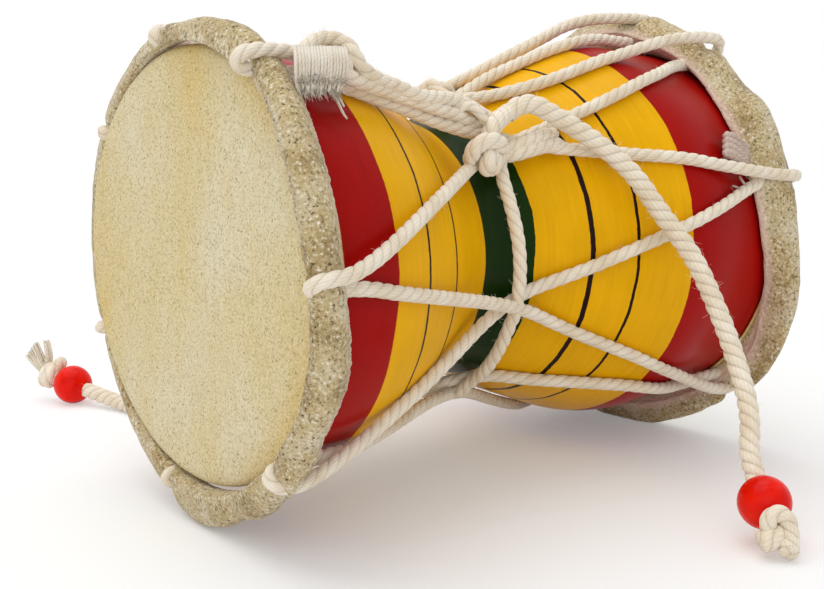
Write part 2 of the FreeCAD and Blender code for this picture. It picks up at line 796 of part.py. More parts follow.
def make_front_knot(lacing, belt, strand):
    """The knot on the crossing that faces up and forward: two turns and a loop."""
    middle = place(size["crossing_shift"], size["front_knot_radius"], FRONT_KNOT_ANGLE)
    out = outward(FRONT_KNOT_ANGLE)
    along = FreeCAD.Vector(1, 0, 0)
    turns = []
    for number, lean in enumerate(KNOT_LEANS):
        turns.append(make_turn("waist_knot_front_turn_%d" % (number + 1), cell("front_turn_radius"),
                               cell("knot_rope_radius"), middle, leaning(out, along, lean), along))
    pair = fuse("waist_knot_front_pair", turns[0], turns[1])
    loop_middle = place(size["crossing_shift"] - size["knot_loop_shift"], size["knot_loop_height"], FRONT_LOOP_ANGLE)
    ring = make_turn("waist_knot_front_loop", cell("knot_loop_radius"), cell("rope_radius"),
                     loop_middle, outward(FRONT_LOOP_ANGLE), along)
    whole = fuse("waist_knot_front_whole", pair, ring)
    free = size["rope_radius"] + size["knot_gap"]
    solids = rope_ways(lacing, middle, 4 * size["front_turn_radius"], free)
    for part in (belt[:2], belt[-2:], strand[:2]):
        solids.append(tube_straight(part[0][0], part[1][0], free, size["knot_gap"]))
    solids.append(Part.makeSphere(size["striker_radius"] + size["root_gap"], front_root()))
    return carve("waist_knot_front", whole, solids)


# Leans of the waist knots' and end knots' turns, in degrees.
KNOT_LEANS = (14, -20)
END_KNOT_LEANS = (10, -10)


def tube_straight(start, end, radius, longer):
    """A round bar between two points, a little longer at both ends."""
    way = end - start
    length = way.Length
    way.normalize()
    return Part.makeCylinder(radius, length + 2 * longer, start - way * longer, way)


def make_back_knot(belt):
    """Two turns round the waist binding that hold the back striker."""
    start = belt[3][0]
    way = belt[4][0] - start
    middle = start + way * BACK_KNOT_SHARE
    way.normalize()
    turns = []
    for number, sign in enumerate((1, -1)):
        turns.append(make_turn("waist_knot_back_turn_%d" % (number + 1),
                               "2 * sizes.rope_radius + sizes.knot_gap", cell("rope_radius"),
                               middle + way * (sign * size["rope_radius"] * TURN_SPREAD_SHARE), way,
                               FreeCAD.Vector(1, 0, 0)))
    pair = fuse("waist_knot_back_pair", turns[0], turns[1])
    seat = Part.makeSphere(size["striker_radius"] + size["root_gap"], back_root())
    return carve("waist_knot_back", pair, [seat])


# How far each turn of the back knot lies from its middle, in rope radii.
TURN_SPREAD_SHARE = 0.9


# Strikers

# Routes of the two striker ropes, as shares of the striker span measured
# from the waist's middle: along the drum, back from the near side, up.
FRONT_ROUTE_SHARES = [(0.097, -0.374, 0.446), (0.184, -0.431, 0.408), (0.277, -0.494, 0.335),
                      (0.352, -0.559, 0.246), (0.412, -0.637, 0.129), (0.446, -0.72, 0.009),
                      (0.458, -0.801, -0.125), (0.463, -0.864, -0.262), (0.449, -0.913, -0.392)]
FRONT_BEAD_SHARES = (0.294, -1.109)
FRONT_BEAD_WAY_SHARES = (-0.38, -0.744, -0.55)
BACK_ROUTE_SHARES = [(-0.05, 0.57, -0.50), (-0.16, 0.78, -0.63), (-0.28, 0.99, -0.69), (-0.355, 1.15, -0.697)]
BACK_BEAD_SHARES = (-0.454, 1.487)
BACK_BEAD_WAY_SHARES = (-0.41, 0.88)


def front_root():
    """Where the front striker leaves its knot, and the point it swings about."""
    return place(size["front_root_shift"], size["front_root_radius"], FRONT_ROOT_ANGLE)


def back_root():
    """The same for the back striker."""
    return place(size["back_root_shift"], size["back_root_radius"], BACK_ROOT_ANGLE)


def span_point(shares):
    """A route point from its shares of the striker span."""
    span = size["striker_span"]
    return FreeCAD.Vector(size["waist_x"] + shares[0] * span, shares[1] * span,
                          size["axis_height"] + shares[2] * span)


def front_bead_place():
    """Middle of the front bead and the way of the rope through it."""
    span = size["striker_span"]
    middle = FreeCAD.Vector(size["waist_x"] + FRONT_BEAD_SHARES[0] * span, FRONT_BEAD_SHARES[1] * span,
                            size["front_bead_height"])
    way = FreeCAD.Vector(*FRONT_BEAD_WAY_SHARES)
    way.normalize()
    return middle, way


def back_bead_place():
    """Middle of the back bead, which lies on the surface, and its rope's way."""
    span = size["striker_span"]
    middle = FreeCAD.Vector(size["waist_x"] + BACK_BEAD_SHARES[0] * span, BACK_BEAD_SHARES[1] * span,
                            size["bead_radius"])
    low = size["striker_radius"] + size["knot_gap"]
    climb = (size["bead_radius"] - low) / size["back_straight"]
    level = math.sqrt(1 - climb * climb)
    flat = FreeCAD.Vector(BACK_BEAD_WAY_SHARES[0], BACK_BEAD_WAY_SHARES[1], 0)
    flat.normalize()
    return middle, FreeCAD.Vector(flat.x * level, flat.y * level, climb)


def striker_route(root, shares, bead, way, straight, longest):
    """A striker rope from its root through its bead into its end knot."""
    points = [root]
    for share in shares:
        points.append(span_point(share))
    route = plain(points)
    route.append((bead - way * straight, BEND_SHARE, longest))
    end = bead + way * (size["bead_radius"] + size["bead_knot_gap"] + size["rope_socket"])
    route.append((end, BEND_SHARE, None))
    return route


def lift_off_floor(route, radius):
    """Keep the points of a rope that lies on the surface above it."""
    low = radius + size["knot_gap"]
    lifted = []
    for point, share, longest in route:
        lifted.append((FreeCAD.Vector(point.x, point.y, max(point.z, low)), share, longest))
    return lifted


def make_bead(name, middle, way):
    """A moulded plastic bead with a hole and a faint seam."""
    body = doc.addObject("PartDesign::Body", name)
    body.Label = name
    sketch = new_sketch(body, name + "_profile")
    radius = size["bead_radius"]
    hole = size["bead_hole"]
    reach = math.sqrt(radius * radius - hole * hole)
    arc = Part.Arc(FreeCAD.Vector(reach, hole, 0), FreeCAD.Vector(0, radius, 0), FreeCAD.Vector(-reach, hole, 0))
    ball = sketch.addGeometry(arc, False)
    side = sketch.addGeometry(Part.LineSegment(FreeCAD.Vector(-reach, hole, 0), FreeCAD.Vector(reach, hole, 0)), False)
    sketch.addConstraint(Sketcher.Constraint("Coincident", ball, 3, -1, 1))
    sketch.addConstraint(Sketcher.Constraint("Coincident", side, 1, ball, 2))
    sketch.addConstraint(Sketcher.Constraint("Coincident", side, 2, ball, 1))
    sketch.addConstraint(Sketcher.Constraint("Horizontal", side))
    number = sketch.addConstraint(Sketcher.Constraint("Radius", ball, radius))
    sketch.setExpression("Constraints[%d]" % number, cell("bead_radius"))
    add_constraint(sketch, "DistanceY", side, 1, cell("bead_hole"))
    doc.recompute()
    turned = revolve(body, sketch, name + "_turned")
    seam_sketch = new_sketch(body, name + "_seam_profile")
    depth = "sizes.bead_radius - sizes.bead_seam"
    top = "sizes.bead_radius + sizes.bead_seam"
    add_lines(seam_sketch, [("0 * sizes.bead_seam", depth), ("2 * sizes.bead_seam", top),
                            ("-2 * sizes.bead_seam", top)], True)
    doc.recompute()
    before = turned.Shape.Volume
    groove = body.newObject("PartDesign::Groove", name + "_seam")
    groove.Profile = seam_sketch
    groove.ReferenceAxis = (seam_sketch, ["H_Axis"])
    groove.Angle = 360
    body.Tip = groove
    doc.recompute()
    if not groove.Shape.Volume < before:
        raise RuntimeError("the seam of %s cuts nothing" % name)
    aim(body, middle, way.cross(FreeCAD.Vector(0, 0, 1)), way)
    return body


def make_end_knot(name, bead, way):
    """The stopper knot behind a bead: two turns pulled tight on the rope."""
    first = size["bead_radius"] + size["bead_knot_gap"] + size["end_knot_rope"]
    last = first + size["end_knot_length"] - 2 * size["end_knot_rope"]
    side = way.cross(FreeCAD.Vector(0, 0, 1))
    side.normalize()
    turns = []
    for number, (distance, lean) in enumerate(zip((first, last), END_KNOT_LEANS)):
        turns.append(make_turn("%s_turn_%d" % (name, number + 1), "sizes.end_knot_radius - sizes.end_knot_rope",
                               cell("end_knot_rope"), bead + way * distance, leaning(way, side, lean), side))
    return fuse(name + "_pair", turns[0], turns[1])


def end_knot_middle(bead, way):
    """Middle of a striker's end knot."""
    return bead + way * (size["bead_radius"] + size["bead_knot_gap"] + size["end_knot_length"] / 2)


def floor_block(middle):
    """A block below the surface, round a place."""
    reach = size["overrun"]
    corner = FreeCAD.Vector(middle.x - reach, middle.y - reach, -2 * reach)
    return Part.makeBox(2 * reach, 2 * reach, 2 * reach, corner)


# The way that the front rope's cut end points, level with the surface.
NUB_WAY_SHARES = (-0.45, -0.89, 0)


def make_front_end_knot(bead, way, rope):
    """Front end knot with the cut end of the rope lying on the surface."""
    middle = end_knot_middle(bead, way)
    pair = make_end_knot("end_knot_front", bead, way)
    nub = doc.addObject("Part::Cylinder", "end_knot_front_nub")
    bind(nub, Radius=cell("nub_radius"), Height=cell("nub_length"))
    start = FreeCAD.Vector(middle.x, middle.y, size["nub_radius"] - size["floor_flat"])
    aim(nub, start, FreeCAD.Vector(*NUB_WAY_SHARES), FreeCAD.Vector(0, 0, 1))
    whole = fuse("end_knot_front_whole", pair, nub)
    return carve("end_knot_front", whole, [rope, floor_block(middle)])


def make_back_end_knot(bead, way, rope):
    """Back end knot, clear of the surface."""
    return carve("end_knot_back", make_end_knot("end_knot_back", bead, way), [rope])


def lofted(sections):
    """A solid through round or oval sections: (middle, across, over, half width, half thickness)."""
    wires = []
    for middle, across, over, half_width, half_thickness in sections:
        wires.append(oval(middle, across, over, half_width, half_thickness))
    return Part.makeLoft(wires, True, False)


def oval(middle, across, over, half_width, half_thickness):
    """An oval wire in the plane of two directions."""
    across = FreeCAD.Vector(across)
    over = FreeCAD.Vector(over)
    across.normalize()
    over.normalize()
    if half_width < half_thickness:
        across, over = over, across * -1
        half_width, half_thickness = half_thickness, half_width
    shape = Part.Ellipse(middle + across * half_width, middle + over * half_thickness, middle)
    return Part.Wire(shape.toShape())


def spindle(start, tip, side, radius, end_radius):
    """A round lobe between two points, widest halfway."""
    middle = (start + tip) * 0.5
    edges = [
        Part.LineSegment(start, start + side * end_radius).toShape(),
        Part.Arc(start + side * end_radius, middle + side * radius, tip + side * end_radius).toShape(),
        Part.LineSegment(tip + side * end_radius, tip).toShape(),
        Part.LineSegment(tip, start).toShape(),
    ]
    return Part.Face(Part.Wire(edges)).revolve(start, tip - start, 360)


def make_tuft(bead, way, knot):
    """The two frayed lobes at the end of the back striker."""
    start = end_knot_middle(bead, way) + way * (size["end_knot_length"] / 2 - size["tuft_radius"] / 2)
    side = way.cross(FreeCAD.Vector(0, 0, 1))
    side.normalize()
    up = side.cross(way)
    lobes = []
    for number, sign in enumerate((1, -1)):
        tip = start + way * size["tuft_length"] + side * (sign * size["tuft_radius"]) + up * size["tuft_radius"]
        across = (tip - start).cross(up)
        across.normalize()
        lobe = doc.addObject("Part::Feature", "striker_tassel_back_lobe_%d" % (number + 1))
        lobe.Shape = spindle(start, tip, across, size["tuft_radius"], size["tuft_end"])
        lobes.append(lobe)
    whole = fuse("striker_tassel_back_whole", lobes[0], lobes[1])
    return carve("striker_tassel_back", whole, [knot])


# End of the lacing: strand, loop, frayed fan and the tail on the right

# Places of the spare rope, from the front waist knot to its loop: (along as a
# share of the left cup, radius as a share of the left rim, angle).
STRAND_SHARES = [(-0.107, 0.807, 41.0), (-0.19, 0.80, 42.8), (-0.30, 0.868, 45.5), (-0.46, 0.955, 48.5),
                 (-0.60, 1.075, 51.5)]
LOOP_SHARES = [(-0.60, 1.15, 58.0), (-0.615, 1.18, 64.0), (-0.69, 1.20, 67.5), (-0.79, 1.215, 66.0),
               (-0.835, 1.24, 61.0), (-0.815, 1.22, 57.0)]
FAN_SHARES = [(-0.815, 1.215, 56.6, 0.36), (-0.81, 1.165, 53.0, 0.75), (-0.805, 1.105, 49.5, 0.95),
              (-0.80, 1.055, 46.0, 1.0)]
# The tail beside the right collar: shares of the right cup and right rim.
TAIL_SHARES = [(0.888, 1.030, 33.0), (0.835, 1.037, 34.0), (0.808, 1.041, 30.8), (0.818, 1.040, 27.6),
               (0.883, 1.030, 27.0)]


def left_point(shares):
    """A place near the left head from its shares and angle."""
    return place(shares[0] * size["left_cup_length"], shares[1] * size["left_rim_radius"], shares[2])


def spare_parting():
    """Where the spare strand is counted as ending and its loop as starting."""
    return (left_point(STRAND_SHARES[-1]) + left_point(LOOP_SHARES[0])) * 0.5


def strand_route():
    """The lacing's spare end, from the front waist knot up to its loop."""
    return plain([left_point(shares) for shares in STRAND_SHARES] + [spare_parting()])


def loop_route():
    """The loop that the spare end throws over the lacing."""
    return plain([spare_parting()] + [left_point(shares) for shares in LOOP_SHARES])


def make_fan(loop_solid):
    """The frayed end that hangs from the loop over the collar's back edge."""
    sections = []
    for shares in FAN_SHARES:
        width = size["tassel_width"] / 2 * shares[3]
        thick = size["tassel_thickness"] / 2
        sections.append((left_point(shares), FreeCAD.Vector(1, 0, 0), outward(shares[2]), width, thick))
    fan = doc.addObject("Part::Feature", "lacing_tassel_fan")
    fan.Shape = lofted(sections)
    return carve("lacing_tassel", fan, [loop_solid])


def tail_route():
    """A thin frayed loop of rope that sticks out beside the right collar."""
    points = []
    for shares in TAIL_SHARES:
        points.append(place(shares[0] * size["right_cup_length"], shares[1] * size["right_rim_radius"], shares[2]))
    return plain(points)


# Build

kept = []


def keep(thing):
    """Remember a finished sub-part."""
    kept.append(thing)
    return thing


def add_rope(name, route, radius):
    """A rope as a sub-part."""
    solid, wire, radii = tube(route, radius)
    report_rope(name, solid, wire, radii, radius)
    return keep(add_shape(name, solid))


left_axis = FreeCAD.Vector(0, 0, -1)
right_axis = FreeCAD.Vector(0, 0, 1)
lacing = lacing_route()
belt = belt_route()
strand = strand_route()
loop = loop_route()

keep(make_shell())
keep(make_skin("left", "-"))
keep(make_skin("right", ""))
keep(make_hoop("left", "-", left_axis))
keep(make_hoop("right", "+", right_axis))
keep(make_collar("left", "-", left_axis, [loop_stops(lacing, "left", angle) for angle in LEFT_LOOP_ANGLES]))
keep(make_collar("right", "", right_axis, [loop_stops(lacing, "right", angle) for angle in RIGHT_LOOP_ANGLES]))

add_rope("lacing_cord", lacing, size["rope_radius"])
add_rope("waist_binding", belt, size["rope_radius"])
add_rope("lacing_return", strand, size["rope_radius"])
add_rope("lacing_end_knot", loop, size["rope_radius"])
keep(make_fan(tube(loop, size["rope_radius"] + size["knot_gap"])[0]))
add_rope("lacing_tail", tail_route(), size["tail_radius"])
keep(make_front_knot(lacing, belt, strand))
keep(make_back_knot(belt))

front_bead, front_way = front_bead_place()
front_rope = striker_route(front_root(), FRONT_ROUTE_SHARES, front_bead, front_way,
                           size["bead_straight"], None)
front_cord = add_rope("striker_cord_front", front_rope, size["striker_radius"])
keep(make_bead("bead_front", front_bead, front_way))
keep(make_front_end_knot(front_bead, front_way, front_cord.Shape))

back_bead, back_way = back_bead_place()
back_rope = striker_route(back_root(), BACK_ROUTE_SHARES, back_bead, back_way,
                          size["back_straight"], size["back_bend"])
back_rope = lift_off_floor(back_rope, size["striker_radius"])
back_cord = add_rope("striker_cord_back", back_rope, size["striker_radius"])
keep(make_bead("bead_back", back_bead, back_way))
back_knot = keep(make_back_end_knot(back_bead, back_way, back_cord.Shape))
doc.recompute()
keep(make_tuft(back_bead, back_way, back_knot.Shape))
doc.recompute()

for thing in doc.Objects:
    if "Invalid" in thing.State or "Error" in thing.State:
        raise RuntimeError("%s is %s" % (thing.Label, thing.State))
for thing in kept:
    if thing.Shape.isNull() or not thing.Shape.isValid():
        raise RuntimeError("%s has no valid shape" % thing.Label)

os.makedirs("parts", exist_ok=True)
for thing in kept:
    thing.Shape.exportStep("parts/%s.step" % thing.Label)
    box = thing.Shape.BoundBox
    print("%-20s solids %d volume %9.1f  x %7.1f %7.1f  y %7.1f %7.1f  z %6.1f %6.1f" % (
        thing.Label, len(thing.Shape.Solids), thing.Shape.Volume,
        box.XMin, box.XMax, box.YMin, box.YMax, box.ZMin, box.ZMax))
print("front root", front_root(), "front bead", front_bead, front_way)
print("back root", back_root(), "back bead", back_bead, back_way)
for side, sign in (("left", -1), ("right", 1)):
    middle = sign * (size[side + "_hoop_place"] - (size["collar_back"] - size["collar_front"]) / 2)
    print("rest", side, size["waist_x"] + middle)
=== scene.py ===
# %% [markdown]
# # A laced hourglass drum
# This notebook dresses a small two-headed drum that lies on its side. The frame is a packed
# model in metres: the drum's axis runs along X, the smaller head faces -X, and Z is up.
# Each piece is made where the frame has it, rides on one of the frame's bodies, and gets
# a material of its own. Sizes in the tables are in millimetres, as a maker would note them.

# %% Load the frame and the tools
import math
import random

import bpy
import bmesh
from mathutils import Matrix, Vector, noise
from mathutils.bvhtree import BVHTree


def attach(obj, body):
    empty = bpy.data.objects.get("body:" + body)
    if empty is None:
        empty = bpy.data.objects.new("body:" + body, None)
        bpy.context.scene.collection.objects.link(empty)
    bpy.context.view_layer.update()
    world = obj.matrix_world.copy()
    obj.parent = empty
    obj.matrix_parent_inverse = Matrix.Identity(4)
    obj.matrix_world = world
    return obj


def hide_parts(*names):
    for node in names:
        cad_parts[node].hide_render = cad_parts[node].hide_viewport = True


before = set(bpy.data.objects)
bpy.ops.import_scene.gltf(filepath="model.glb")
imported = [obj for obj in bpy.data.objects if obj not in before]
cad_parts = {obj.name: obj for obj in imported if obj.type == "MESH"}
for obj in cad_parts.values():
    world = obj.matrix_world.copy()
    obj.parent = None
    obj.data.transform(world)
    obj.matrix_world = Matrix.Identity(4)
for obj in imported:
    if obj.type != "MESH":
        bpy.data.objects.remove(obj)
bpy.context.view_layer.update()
MM = 0.001
AXIS_Z = 72.7 * MM
chance = random.Random(7)

# %% [markdown]
# ## Camera
# A product picture is taken with a longish lens, so the drum keeps its shape. The camera stands
# left of the drum and a little above it, and looks along the drum's near side. Its place and
# turns were found by matching the two rims, the waist and the striker beads.

# %% Camera
CAMERA_PLACE = Vector((-266.35, -292.25, 122.41)) * MM
CAMERA_TURN = math.radians(40.955)
CAMERA_DOWN = math.radians(9.538)
CAMERA_ROLL = math.radians(-0.353)
SENSOR_WIDTH = 36
FOCAL_PIXELS = 1246.77
PICTURE_PIXELS = 824


def camera_axes():
    """Right, up and back of the camera, as the columns of a rotation."""
    ahead = Vector((math.sin(CAMERA_TURN) * math.cos(CAMERA_DOWN),
                    math.cos(CAMERA_TURN) * math.cos(CAMERA_DOWN),
                    -math.sin(CAMERA_DOWN)))
    right = Vector((math.cos(CAMERA_TURN), -math.sin(CAMERA_TURN), 0))
    up = right.cross(ahead)
    lean = Matrix.Rotation(CAMERA_ROLL, 3, ahead)
    return Matrix((lean @ right, lean @ up, -ahead)).transposed()


lens_data = bpy.data.cameras.new("camera")
lens_data.sensor_width = SENSOR_WIDTH
lens_data.lens = FOCAL_PIXELS / PICTURE_PIXELS * SENSOR_WIDTH
lens_data.clip_start = 0.01
camera = bpy.data.objects.new("camera", lens_data)
bpy.context.scene.collection.objects.link(camera)
camera.matrix_world = Matrix.Translation(CAMERA_PLACE) @ camera_axes().to_4x4()
bpy.context.scene.camera = camera
bpy.context.scene.view_settings.view_transform = "Standard"
print("lens", round(lens_data.lens, 2), "mm")

# %% [markdown]
# ## Lines that the ropes follow
# A rope is flexible, so its line is smooth. Each route is a short list of points, and a spline
# of order 3 runs near them. The curve is read back as points, spaced evenly, and the strands
# are laid round those. A curve with a round bevel would be quicker, but it can't show strands.

# %% Reading a smooth line
def smooth_line(name, route):
    """The points of an open spline whose control points are the route's, in metres."""
    data = bpy.data.curves.new(name + "_line", "CURVE")
    data.dimensions = "3D"
    data.resolution_u = 12
    spline = data.splines.new("NURBS")
    spline.points.add(len(route) - 1)
    for control, place in zip(spline.points, route):
        control.co = (place[0] * MM, place[1] * MM, place[2] * MM, 1)
    spline.order_u = 3
    spline.use_endpoint_u = True
    holder = bpy.data.objects.new(name + "_line", data)
    bpy.context.scene.collection.objects.link(holder)
    bpy.context.view_layer.update()
    mesh = bpy.data.meshes.new_from_object(holder)
    line = [vertex.co.copy() for vertex in mesh.vertices]
    bpy.data.meshes.remove(mesh)
    bpy.data.objects.remove(holder)
    return line


def line_length(line):
    """Length of a chain of points."""
    return sum((b - a).length for a, b in zip(line, line[1:]))


def even_points(line, step):
    """The same line with its points a step apart."""
    count = max(2, round(line_length(line) / step))
    gap = line_length(line) / count
    points = [line[0].copy()]
    walked = 0.0
    for a, b in zip(line, line[1:]):
        run = (b - a).length
        while run > 0 and walked + run >= gap * len(points) and len(points) < count:
            points.append(a.lerp(b, (gap * len(points) - walked) / run))
        walked += run
    points.append(line[-1].copy())
    return points


def line_frames(points):
    """A way and a steady sideways direction at each point of a line."""
    ways = []
    for number in range(len(points)):
        ahead = points[min(number + 1, len(points) - 1)] - points[max(number - 1, 0)]
        ways.append(ahead.normalized())
    start = Vector((0, 0, 1)) if abs(ways[0].z) < 0.8 else Vector((1, 0, 0))
    side = (start - ways[0] * start.dot(ways[0])).normalized()
    sides = []
    for way in ways:
        side = (side - way * side.dot(way)).normalized()
        sides.append(side.copy())
    return ways, sides


# %% [markdown]
# ## The rope itself
# The cord is three-strand cotton. Each strand is a round bundle, and three of them twist about
# each other, so the outline is a three-leaf shape that turns as it goes. The mesh is that
# outline, swept along the line and turned once per lay. Its UV map counts strands across and
# lays along, so a material can draw the yarns inside each strand.

# %% Laying a rope
STRANDS = 3
LACING_LAY = -12.0 * MM
STRIKER_LAY = -11.2 * MM


def strand_outline(angle, groove):
    """Radius of three touching strands at an angle, as a share of the rope's radius."""
    part = 2 * math.pi / STRANDS
    away = abs((angle + part / 2) % part - part / 2) / (part / 2)
    return 1 - groove * away ** 2.4


def close_end(mesh, layer, ring, flip):
    """Close a ring of a tube with a fan of faces."""
    middle = mesh.verts.new(sum((v.co for v in ring), Vector()) / len(ring))
    for corner in range(len(ring)):
        pair = (ring[corner], ring[(corner + 1) % len(ring)])
        face = mesh.faces.new((pair[1], pair[0], middle) if flip else (pair[0], pair[1], middle))
        face.smooth = True
        for loop in face.loops:
            loop[layer].uv = (0.5, 0.5)


def add_tube(mesh, layer, points, radius_at, sides, lay, groove):
    """Sweep the strands' outline along points into an open mesh, with closed ends."""
    ways, sides_way = line_frames(points)
    rings = []
    walked = 0.0
    for number, point in enumerate(points):
        if number:
            walked += (point - points[number - 1]).length
        share = number / (len(points) - 1)
        turn = 2 * math.pi * walked / lay
        across = ways[number].cross(sides_way[number])
        ring = []
        for corner in range(sides):
            angle = 2 * math.pi * corner / sides
            reach = radius_at(share) * strand_outline(angle, groove)
            spot = angle + turn
            out = sides_way[number] * math.cos(spot) + across * math.sin(spot)
            ring.append(mesh.verts.new(point + out * reach))
        rings.append((ring, walked))
    for (before, from_start), (after, to_start) in zip(rings, rings[1:]):
        for corner in range(sides):
            follow = (corner + 1) % sides
            face = mesh.faces.new((before[corner], before[follow], after[follow], after[corner]))
            face.smooth = True
            first = STRANDS * corner / sides
            second = STRANDS * (corner + 1) / sides
            spots = ((first, from_start), (second, from_start), (second, to_start), (first, to_start))
            for loop, (across_uv, along_uv) in zip(face.loops, spots):
                loop[layer].uv = (across_uv, along_uv / lay)
    close_end(mesh, layer, rings[0][0], True)
    close_end(mesh, layer, rings[-1][0], False)


def finish_mesh(name, mesh):
    """Turn a built mesh into an object that faces outwards."""
    bmesh.ops.recalc_face_normals(mesh, faces=mesh.faces)
    data = bpy.data.meshes.new(name)
    mesh.to_mesh(data)
    mesh.free()
    made = bpy.data.objects.new(name, data)
    bpy.context.scene.collection.objects.link(made)
    return made


def lay_rope(name, points, diameter, sides=24, taper=None, groove=0.17, lay=LACING_LAY):
    """A three-strand rope along points."""
    mesh = bmesh.new()
    layer = mesh.loops.layers.uv.new("strands")
    radius_at = taper or (lambda share: diameter / 2)
    add_tube(mesh, layer, points, radius_at, sides, lay, groove)
    made = finish_mesh(name, mesh)
    print(name, "length %.0f mm" % (line_length(points) / MM), "faces", len(made.data.polygons))
    return made


# %% Fuzz
HAIR_RADIUS = 0.045 * MM
HAIR_STEPS = 4
THIRD_TURN = 2.094
LOWEST = 0.02


def add_hair(mesh, layer, root, lead, curl, length, beside):
    """One hair: a thin three-sided spike that curls away from its root."""
    flat = lead.cross(beside).normalized()
    tall = lead.cross(flat).normalized()
    rings = []
    for step in range(HAIR_STEPS + 1):
        share = step / HAIR_STEPS
        middle = root + lead * length * share + curl * length * share * share * 0.6
        thick = HAIR_RADIUS * (1 - 0.6 * share)
        ring = []
        for k in range(3):
            place = middle + (flat * math.cos(k * THIRD_TURN) + tall * math.sin(k * THIRD_TURN)) * thick
            place.z = max(place.z, LOWEST * MM)
            ring.append(mesh.verts.new(place))
        rings.append(ring)
    for before, after in zip(rings, rings[1:]):
        for k in range(3):
            face = mesh.faces.new((before[k], before[(k + 1) % 3], after[(k + 1) % 3], after[k]))
            for loop in face.loops:
                loop[layer].uv = (0.0, 0.0)
    mesh.faces.new(rings[-1])
    mesh.faces.new(rings[0][::-1])


def grow_fuzz(name, points, radius, count, longest, ride_on):
    """Fine cotton hairs that stand off a rope."""
    mesh = bmesh.new()
    layer = mesh.loops.layers.uv.new("strands")
    ways, sides_way = line_frames(points)
    for _ in range(count):
        number = chance.randrange(2, len(points) - 2)
        turn = chance.uniform(0, 2 * math.pi)
        across = ways[number].cross(sides_way[number])
        out = sides_way[number] * math.cos(turn) + across * math.sin(turn)
        root = points[number] + out * radius * 0.88
        length = chance.uniform(0.35, 1.0) * longest
        lead = (out * chance.uniform(0.5, 1.0) + ways[number] * chance.uniform(-1.1, 1.1)).normalized()
        curl = (ways[number].cross(out) * chance.uniform(-0.9, 0.9) - out * chance.uniform(0.0, 0.7))
        add_hair(mesh, layer, root, lead, curl, length, out + ways[number] * 0.3)
    made = finish_mesh(name, mesh)
    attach(made, ride_on)
    print(name, "hairs", count, "faces", len(made.data.polygons))
    return made


# %% [markdown]
# ## Front striker
# Each striker is a short rope that is knotted to the waist and ends in a bead, held by a knot.
# In use the player twists the drum and the beads swing against the heads. At rest the front
# rope arches out of its knot, falls in front of the drum, and its bead's knot lies on the table.

# %% Front striker rope
FRONT_ROUTE = [
    (-7.05, -34.646, 113.99), (-2.34, -36.8, 118.87), (5.8, -42.29, 113.79), (16.27, -49.72, 106.01),
    (24.31, -56.64, 97.33), (28.99, -63.24, 85.88), (33.53, -72.61, 73.53), (34.33, -80.33, 60.28),
    (35.02, -86.45, 48.1), (30.07, -97.47, 31.1), (22.4, -101.6, 18.61), (13.813, -118.413, 6.186)]
STRIKER_DIAMETER = 5.8 * MM
front_line = smooth_line("striker_front", FRONT_ROUTE)
front_points = even_points(front_line, 0.55 * MM)
striker_front = lay_rope("striker_rope_front", front_points, STRIKER_DIAMETER, sides=36, groove=0.19,
                         lay=STRIKER_LAY)
fuzz_front = grow_fuzz("striker_fuzz_front", front_points, STRIKER_DIAMETER / 2, 300, 3.2 * MM,
                       "striker_front")
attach(striker_front, "striker_front")
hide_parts("striker_cord_front")

# %% [markdown]
# ## Back striker
# The second striker hangs behind the drum. Only its end shows in the picture, left of the small
# head: the rope lies on the table, climbs a little into the bead, and ends in a loose tuft.

# %% Back striker rope
BACK_ROUTE = [
    (-9.75, 41.749, 37.668), (-16.75, 57.0, 22.7), (-27.75, 78.0, 9.7), (-39.75, 99.0, 3.7),
    (-47.25, 115.0, 3.0), (-49.421, 132.111, 3.0), (-61.302, 157.612, 9.61)]
back_line = smooth_line("striker_back", BACK_ROUTE)
back_points = even_points(back_line, 0.55 * MM)
striker_back = lay_rope("striker_rope_back", back_points, STRIKER_DIAMETER, sides=36, groove=0.19,
                        lay=STRIKER_LAY)
fuzz_back = grow_fuzz("striker_fuzz_back", back_points, STRIKER_DIAMETER / 2, 180, 2.6 * MM, "striker_back")
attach(striker_back, "striker_back")
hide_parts("striker_cord_back")

# %% [markdown]
# ## Lacing, waist binding and spare end
# One rope runs to and fro between the heads. At each head it passes over the collar, turns
# round the hoop and comes back underneath, and at the waist each pair of legs crosses. A second
# turn of rope squeezes the crossings together. The tables give the routes' corner points.

